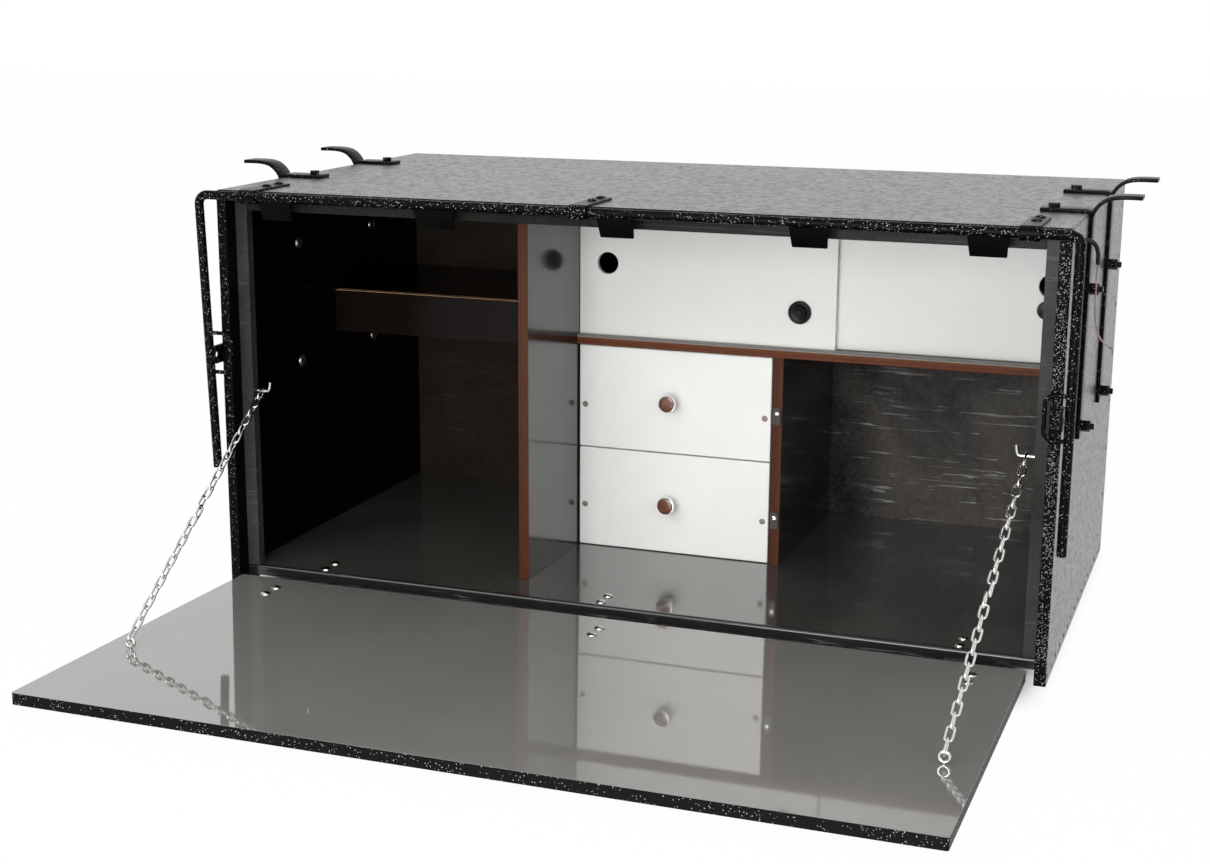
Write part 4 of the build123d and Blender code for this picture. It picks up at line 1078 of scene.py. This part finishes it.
@dataclass
class BracketBolts:
    """Domed carriage bolts through the walls, with a jam nut and a cut thread on their free ends."""

    thread_pitch: float = 0.00125
    crest: float = 0.00432
    root: float = 0.00402
    shank: float = 0.0040
    wall: float = 0.569
    nut_face: float = 0.5955
    jam_nut: float = 0.0052
    nut_radius: float = 0.0075
    free_end: float = 0.0052
    seat: float = 0.0001
    dome_radius: float = 0.0095
    dome_tall: float = 0.0045
    half_bar: float = 0.016

    def build(self) -> None:
        """Zinc domes, painted jam nuts and painted threads."""
        zinc = material("dome_plating", DULL_ZINC, Gloss(metallic=1.0))
        paint = material("thread_paint", BLACK_SATIN, Gloss(specular=0.12))
        reach = self.nut_face - self.wall
        r, tall = self.dome_radius, self.dome_tall
        bolt = turned("bolt", ((0.0006, -tall), (r * 0.28, -tall * 0.98), (r * 0.6, -tall * 0.85),
                               (r * 0.86, -tall * 0.5), (r, -tall * 0.12), (r * 0.99, 0.0),
                               (self.shank, 0.0), (self.shank, reach)), sides=32, smooth=50.0)
        settle(copies(bolt, self.places(self.wall), "carriage_bolts"), "cabinet", "zinc_steel", zinc,
               "bracket_bolts")
        n, h = self.nut_radius, self.jam_nut
        nut = turned("jam_nut", ((n * 0.90, 0.0), (n, h * 0.16), (n, h * 0.80), (n * 0.86, h)),
                     sides=6, smooth=30.0)
        settle(copies(nut, self.places(self.nut_face), "bracket_jam_nuts"), "cabinet", "black_steel", paint)
        turns = int(self.free_end / self.thread_pitch)
        profile = []
        for number in range(turns):
            start = number * self.thread_pitch
            profile += [(self.root, start), (self.crest, start + self.thread_pitch / 2)]
        profile.append((self.root * 0.85, turns * self.thread_pitch))
        thread = turned("thread", profile, sides=24, smooth=20.0)
        settle(copies(thread, self.places(self.nut_face + h - self.seat), "bracket_bolt_threads"), "cabinet",
               "black_steel", paint)

    def places(self, x: float) -> list[Matrix]:
        """Where the eight bolts stand, at a distance from the middle of the box."""
        return [facing(Vector((side * x, y, z)), Vector((side, 0, 0)))
                for side in (-1, 1) for y, z in self.spots(side)]

    def spots(self, side: int) -> list[tuple[float, float]]:
        """Places of the bolts on one wall, over both brackets.

        Args:
            side: 1 for the right wall, -1 for the left.
        Returns:
            The four places' y and z.
        """
        low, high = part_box("bracket_bolts")
        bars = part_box("brackets_left" if side < 0 else "brackets_right")
        return [(y, z) for y in (bars[0].y + self.half_bar, bars[1].y - self.half_bar)
                for z in (low.z + self.dome_radius, high.z - self.dome_radius)]


@dataclass
class SlidingDoors:
    """White panels in their grooves, with a ringed pull and a knob."""

    pull_radius: float = 0.0165
    pull_out: float = 0.0080

    def build(self) -> None:
        """White film, black pulls."""
        white = material("sliding_door_film", WHITE_FILM, Gloss(specular=0.45))
        dress(("slide_door_left", "slide_door_right"), white)
        black = material("pull_plastic", BLACK_SATIN, Gloss(specular=0.14))
        dress(("slide_door_right_knob",), black)
        self.ringed_pull(black)

    def ringed_pull(self, black: Material) -> None:
        """A round pull with two rings and a screw in its middle.

        Args:
            black: its material.
        """
        low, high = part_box("slide_door_left_knob")
        r, out = self.pull_radius, self.pull_out
        profile = ((r, 0.0), (r, out * 0.55), (r - 0.0006, out * 0.78), (r - 0.0018, out * 0.88),
                   (r - 0.0035, out * 0.82), (r - 0.0043, out * 0.50), (r - 0.0062, out * 0.46),
                   (r - 0.0068, out * 0.80), (r - 0.0078, out * 0.93), (r - 0.0092, out * 0.90),
                   (r - 0.0102, out * 0.60), (r - 0.0118, out * 0.58), (r - 0.0122, out * 0.84),
                   (r - 0.0135, out * 0.96), (r - 0.0150, out * 0.98))
        pull = turned("ringed_pull", profile, sides=56, smooth=50.0)
        centre = Vector(((low.x + high.x) / 2, high.y, (low.z + high.z) / 2))
        pull.data.transform(facing(centre, Vector((0, -1, 0))))
        settle(pull, "sliding_door_left", "black_plastic", black, "slide_door_left_knob")


@dataclass
class Drawers:
    """Two drawers with knobs, front screws and runners."""

    stem: float = 0.0060
    knob_radius: float = 0.01325
    knob_out: float = 0.0240
    rim: float = 0.0022
    cap_gap: float = 0.0001
    cap_ease: float = 0.0005
    screw_radius: float = 0.0045
    screw_out: float = 0.0010
    recess_span: float = 1.3
    recess_foot: float = 0.35

    def build(self) -> None:
        """Dresses both drawers and makes their knobs and screws."""
        fronts = material("drawer_front_film", FRONT_FILM, Gloss(specular=0.45))
        trays = material("drawer_tray_wood", BIRCH)
        rails = material("runner_plating", DULL_ZINC, Gloss(metallic=1.0))
        chrome = material("knob_chrome", CHROME, Gloss(metallic=1.0))
        cap = material("knob_cap_lacquer", KNOB_CAP, Gloss(specular=0.6, coat=0.8, coat_roughness=0.08))
        steel = material("front_screw_steel", SCREW_STEEL, Gloss(metallic=0.3))
        dress(("drawer_rails_fixed",), rails)
        for name in ("top", "bottom"):
            dress((f"drawer_{name}_front",), fronts)
            dress((f"drawer_{name}_box",), trays)
            dress((f"drawer_{name}_runners",), rails)
            self.knob(name, chrome, cap)
            self.screws(name, steel)

    def knob(self, name: str, chrome: Material, cap: Material) -> None:
        """A chromed knob with a brown cap set in its rim.

        Args:
            name: top or bottom, the drawer.
            chrome: the body's material.
            cap: the cap's material.
        """
        low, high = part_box(f"drawer_{name}_knob")
        centre = Vector(((low.x + high.x) / 2, high.y, (low.z + high.z) / 2))
        place = facing(centre, Vector((0, -1, 0)))
        r, out, rim = self.knob_radius, self.knob_out, self.rim
        body = turned(f"{name}_drawer_knob_body", (
            (self.stem * 1.15, 0.0), (self.stem * 1.1, out * 0.10), (self.stem * 0.85, out * 0.28),
            (self.stem * 0.95, out * 0.46), (r * 0.62, out * 0.60), (r * 0.88, out * 0.70),
            (r * 0.985, out * 0.80), (r, out * 0.88), (r * 0.985, out * 0.955), (r * 0.95, out * 0.992),
            (r - rim * 0.75, out * 0.995), (r - rim, out * 0.97), (r - rim, out * 0.90)),
            sides=48, smooth=40.0)
        body.data.transform(place)
        settle(body, f"drawer_{name}", "zinc_steel", chrome, f"drawer_{name}_knob")
        inner = r - rim - self.cap_gap
        face = turned(f"{name}_drawer_knob_cap", (
            (inner, out * 0.90), (inner, out * 0.955), (inner - self.cap_ease, out * 0.975),
            (inner * 0.72, out * 0.988), (inner * 0.35, out * 0.995), (inner * 0.08, out * 0.998)),
            sides=48, smooth=60.0)
        face.data.transform(place)
        settle(face, f"drawer_{name}", "knob_brown", cap)

    def screws(self, name: str, steel: Material) -> None:
        """Low pan heads with a cross recess.

        Args:
            name: top or bottom, the drawer.
            steel: their material.
        """
        low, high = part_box(f"drawer_{name}_screws")
        r, out = self.screw_radius, self.screw_out
        head = turned("screw_head", ((r, 0.0), (r * 0.97, out * 0.45), (r * 0.82, out * 0.85), (r * 0.6, out),
                                     (r * 0.05, out)), sides=32, smooth=45.0)
        span = self.recess_span * r
        deselect()
        bpy.ops.mesh.primitive_plane_add(size=span, location=(0, 0, out * self.recess_foot))
        cross = bpy.context.object
        with editing(cross):
            bpy.ops.mesh.select_all(action="SELECT")
            bpy.ops.mesh.subdivide(number_cuts=2)
            choose_points(cross, lambda p: min(abs(p.x), abs(p.y)) > span / 3)
            bpy.ops.mesh.delete(type="VERT")
            bpy.ops.mesh.select_all(action="SELECT")
            extrude((0, 0, out * 1.2))
            face_outwards()
        bpy.ops.object.transform_apply(location=True, rotation=True, scale=True)
        recess = head.modifiers.new("recess", "BOOLEAN")
        recess.object = cross
        pick(head)
        bpy.ops.object.modifier_apply(modifier="recess")
        bpy.data.objects.remove(cross)
        z = (low.z + high.z) / 2
        places = [facing(Vector((x, high.y, z)), Vector((0, -1, 0))) for x in (low.x + r, high.x - r)]
        settle(copies(head, places, f"{name}_drawer_screws"), f"drawer_{name}", "zinc_steel", steel,
               f"drawer_{name}_screws")


@dataclass
class Latches:
    """Turn buttons that hold the drawers."""

    def dress(self) -> None:
        """Black plates with a bright screw in each."""
        paint = material("latch_paint", BLACK_SATIN, Gloss(specular=0.6))
        dress(("turn_latch_top", "turn_latch_bottom"), paint)
        dress(("latch_screws",), material("latch_screw_plating", CHROME, Gloss(metallic=1.0)))
        LOG.info("dressed the latches")


@dataclass
class Lead:
    """The electric lead that leaves the right wall: grommet, black jacket and one thin wire."""

    exit_y: float = 0.090
    exit_z: float = 0.552
    proud: float = 0.003
    jacket_diameter: float = 0.0056
    wire_diameter: float = 0.0022
    jacket_length: float = 0.0412
    wire_length: float = 0.1132
    tip_length: float = 0.006
    strands: int = 5
    strand_aside: float = 0.0005
    strand_splay: float = 0.12
    jacket_route: tuple[tuple[float, float, float], ...] = (
        (0.0, 0.0, 0.0), (0.0070, 0.0, 0.0), (0.0135, 0.0010, -0.0040), (0.0172, 0.0026, -0.0115),
        (0.0184, 0.0046, -0.0205), (0.0182, 0.0066, -0.0300))
    wire_route: tuple[tuple[float, float, float], ...] = (
        (0.0182, 0.0066, -0.0300), (0.0176, 0.0091, -0.0420), (0.0172, 0.0102, -0.0560),
        (0.0172, 0.0108, -0.0710), (0.0176, 0.0118, -0.0870), (0.0190, 0.0130, -0.1030),
        (0.0222, 0.0146, -0.1175), (0.0282, 0.0176, -0.1290), (0.0362, 0.0224, -0.1350))

    def build(self) -> None:
        """The grommet's rubber and the two stretches of the lead."""
        rubber = material("grommet_rubber", BLACK_SATIN, Gloss(specular=0.3))
        dress(("lead_grommet",), rubber)
        jacket = self.stretch("lead_jacket_cord", self.jacket_route, self.jacket_diameter, rubber)
        settle(jacket, "cabinet", "lead_black", None, "lead_jacket")
        coat = material("wire_insulation", WIRE_COAT, Gloss(specular=0.4))
        wire = self.stretch("lead_wire_cord", self.wire_route, self.wire_diameter, coat)
        settle(wire, "cabinet", "lead_wire_coat", None, "lead_wire")
        tip = self.bare_tip()

    def at(self, point: Sequence[float]) -> Vector:
        """Puts a route's point in the frame.

        Args:
            point: the point, counted from where the lead leaves the grommet.
        Returns:
            Its place.
        """
        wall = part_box("right_wall")
        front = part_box("top_panel")[0].y
        return Vector((wall[1].x + self.proud, front + self.exit_y, self.exit_z)) + Vector(point)

    def stretch(self, name: str, route: Sequence[Sequence[float]], diameter: float,
                made: Material) -> Thing:
        """A smooth curve along a route.

        Args:
            name: the piece's name.
            route: its control points from the exit.
            diameter: the cord's diameter.
            made: its material.
        Returns:
            The curve object.
        """
        curve = bpy.data.curves.new(name, "CURVE")
        curve.dimensions = "3D"
        curve.bevel_depth = diameter / 2
        curve.bevel_resolution = 5
        curve.use_fill_caps = True
        curve.resolution_u = 10
        line = curve.splines.new("NURBS")
        line.points.add(len(route) - 1)
        for point, place in zip(line.points, route):
            point.co = (*self.at(place), 1.0)
        line.order_u = 3
        line.use_endpoint_u = True
        curve.materials.append(made)
        piece = bpy.data.objects.new(name, curve)
        bpy.context.scene.collection.objects.link(piece)
        return piece

    def bare_tip(self) -> Thing:
        """The few bare strands at the wire's end."""
        end, before = self.at(self.wire_route[-1]), self.at(self.wire_route[-2])
        run = (end - before).normalized()
        strand = turned("strand", ((0.00028, -0.001), (0.00030, self.tip_length * 0.5),
                                   (0.00026, self.tip_length)), sides=8)
        places = []
        for number in range(self.strands):
            aside = run.orthogonal().normalized()
            aside.rotate(Matrix.Rotation(number * math.tau / self.strands, 3, run))
            places.append(facing(end + aside * self.strand_aside, run + aside * self.strand_splay))
        copper = material("bare_copper", COPPER, Gloss(metallic=1.0))
        return settle(copies(strand, places, "lead_bare_strands"), "cabinet", "lead_wire_coat", copper)


# ---------------------------------------------------------------- studio
@dataclass(frozen=True)
class Lamp:
    """A square lamp aimed at the middle of the box."""

    name: str
    place: tuple[float, float, float]
    size: float
    power: float

    def light(self) -> None:
        """Puts the lamp in the scene."""
        data = bpy.data.lights.new(self.name, "AREA")
        data.size = self.size
        data.energy = self.power
        light = bpy.data.objects.new(self.name, data)
        bpy.context.scene.collection.objects.link(light)
        aim = Vector((0, 0, 0.3)) - Vector(self.place)
        turn = aim.to_track_quat("-Z", "Y").to_matrix().to_4x4()
        light.matrix_world = Matrix.Translation(self.place) @ turn


@dataclass
class Studio:
    """White floor and surroundings, soft lamps and the photograph's camera."""

    lamps: tuple[Lamp, ...] = (
        Lamp("key", (-1.6, -2.6, 2.4), 1.6, 26.0), Lamp("fill", (2.4, -2.2, 1.6), 1.2, 16.0),
        Lamp("front", (0.1, -3.3, 0.70), 1.7, 74.0), Lamp("sparkle", (0.2, -3.4, 2.9), 0.25, 12.0))
    floor_half: float = 14.0
    floor_below: float = 0.0005
    glow_share: float = 0.98
    dim_sides: tuple[float, float] = (0.60, 0.53)
    dim_front: tuple[float, float] = (-0.16, -0.06)
    dim_back: tuple[float, float] = (0.62, 0.50)
    behind: tuple[float, float] = (-0.35, 0.45)
    above: tuple[float, float] = (0.15, 0.9)
    front_light: float = 0.26
    top_light: float = 0.85
    azimuth: float = math.radians(20.5)
    elevation: float = math.radians(13.4)
    roll: float = math.radians(0.2)
    eye: tuple[float, float, float] = (0.8389, -2.37756, 0.8562)
    focal_pixels: float = 1919.3
    centre_pixel: tuple[float, float] = (586.2, 441.1)
    sensor: float = 36.0

    def build(self) -> None:
        """Camera, floor, surroundings and lamps."""
        self.camera()
        self.floor()
        self.surroundings()
        for lamp in self.lamps:
            lamp.light()

    def camera(self) -> None:
        """The camera that was fitted to the box's corners."""
        az, el = self.azimuth, self.elevation
        back = Vector((math.sin(az) * math.cos(el), -math.cos(az) * math.cos(el), math.sin(el)))
        right = Vector((0, 0, 1)).cross(back).normalized()
        up = back.cross(right)
        c, s = math.cos(self.roll), math.sin(self.roll)
        x_axis, y_axis = right * c + up * s, up * c - right * s
        data = bpy.data.cameras.new("camera")
        data.sensor_width = self.sensor
        data.lens = self.focal_pixels / IMAGE_WIDTH * self.sensor
        data.shift_x = (IMAGE_WIDTH / 2 - self.centre_pixel[0]) / IMAGE_WIDTH
        data.shift_y = (self.centre_pixel[1] - IMAGE_HEIGHT / 2) / IMAGE_WIDTH
        data.clip_end = 60.0
        view = bpy.data.objects.new("camera", data)
        bpy.context.scene.collection.objects.link(view)
        turn = Matrix((x_axis, y_axis, back)).transposed().to_4x4()
        view.matrix_world = Matrix.Translation(self.eye) @ turn
        bpy.context.scene.camera = view

    def floor(self) -> None:
        """A wide white floor that keeps a soft shadow."""
        deselect()
        bpy.ops.mesh.primitive_plane_add(size=2 * self.floor_half, location=(0, 0, -self.floor_below))
        plane = bpy.context.object
        plane.name = "studio_floor"
        made, g = blank_material("studio_floor")
        path = g.add("ShaderNodeLightPath")
        seen = g.math("MAXIMUM", path.outputs["Is Camera Ray"], path.outputs["Is Glossy Ray"])
        seen = g.math("MAXIMUM", seen, path.outputs["Is Transmission Ray"])
        _, spot = g.place()
        aside = g.step(g.math("ABSOLUTE", spot[0]), *self.dim_sides)
        under = g.times(g.times(aside, g.step(spot[1], *self.dim_front)), g.step(spot[1], *self.dim_back))
        matt = g.add("ShaderNodeBsdfDiffuse", {"Color": grey(0.8)})
        glow = g.add("ShaderNodeEmission", {"Color": grey(1.0), "Strength": 1.0})
        share = g.times(g.times(seen, self.glow_share), g.minus(1.0, under))
        mix = g.add("ShaderNodeMixShader", {0: share, 1: matt.outputs[0], 2: glow.outputs[0]})
        g.feed(g.add("ShaderNodeOutputMaterial").inputs["Surface"], mix.outputs[0])
        plane.data.materials.append(made)

    def surroundings(self) -> None:
        """White behind the box and all round for the camera, dimmer in front for the light."""
        world = bpy.data.worlds.new("studio")
        world.use_nodes = True
        world.node_tree.nodes.clear()
        g = Graph(world.node_tree)
        path = g.add("ShaderNodeLightPath")
        _, way = g.place("Generated")
        light = g.blend(g.step(way[1], *self.behind), self.front_light, 1.0)
        light = g.blend(g.step(way[2], *self.above), light, self.top_light)
        strength = g.blend(path.outputs["Is Camera Ray"], light, 1.0)
        shade = g.add("ShaderNodeBackground", {"Color": grey(1.0), "Strength": strength})
        g.feed(g.add("ShaderNodeOutputWorld").inputs["Surface"], shade.outputs[0])
        bpy.context.scene.world = world


def main() -> None:
    """Builds the looks around the frame."""
    logging.basicConfig(level=logging.INFO, format="%(message)s")
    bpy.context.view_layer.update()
    bpy.context.scene.view_settings.view_transform = "Standard"
    for make in (make_coat_group, make_film_group, make_ply_group, make_metal_group, make_birch_group):
        make()
    Studio().build()
    Lead().build()
    Carcass().dress()
    Nails().build()
    Door().dress()
    Hinges().dress()
    Chains().build()
    LockBar().dress()
    Brackets().build()
    BracketBolts().build()
    SlidingDoors().build()
    Drawers().build()
    Latches().dress()


if __name__ == "__main__":
    main()
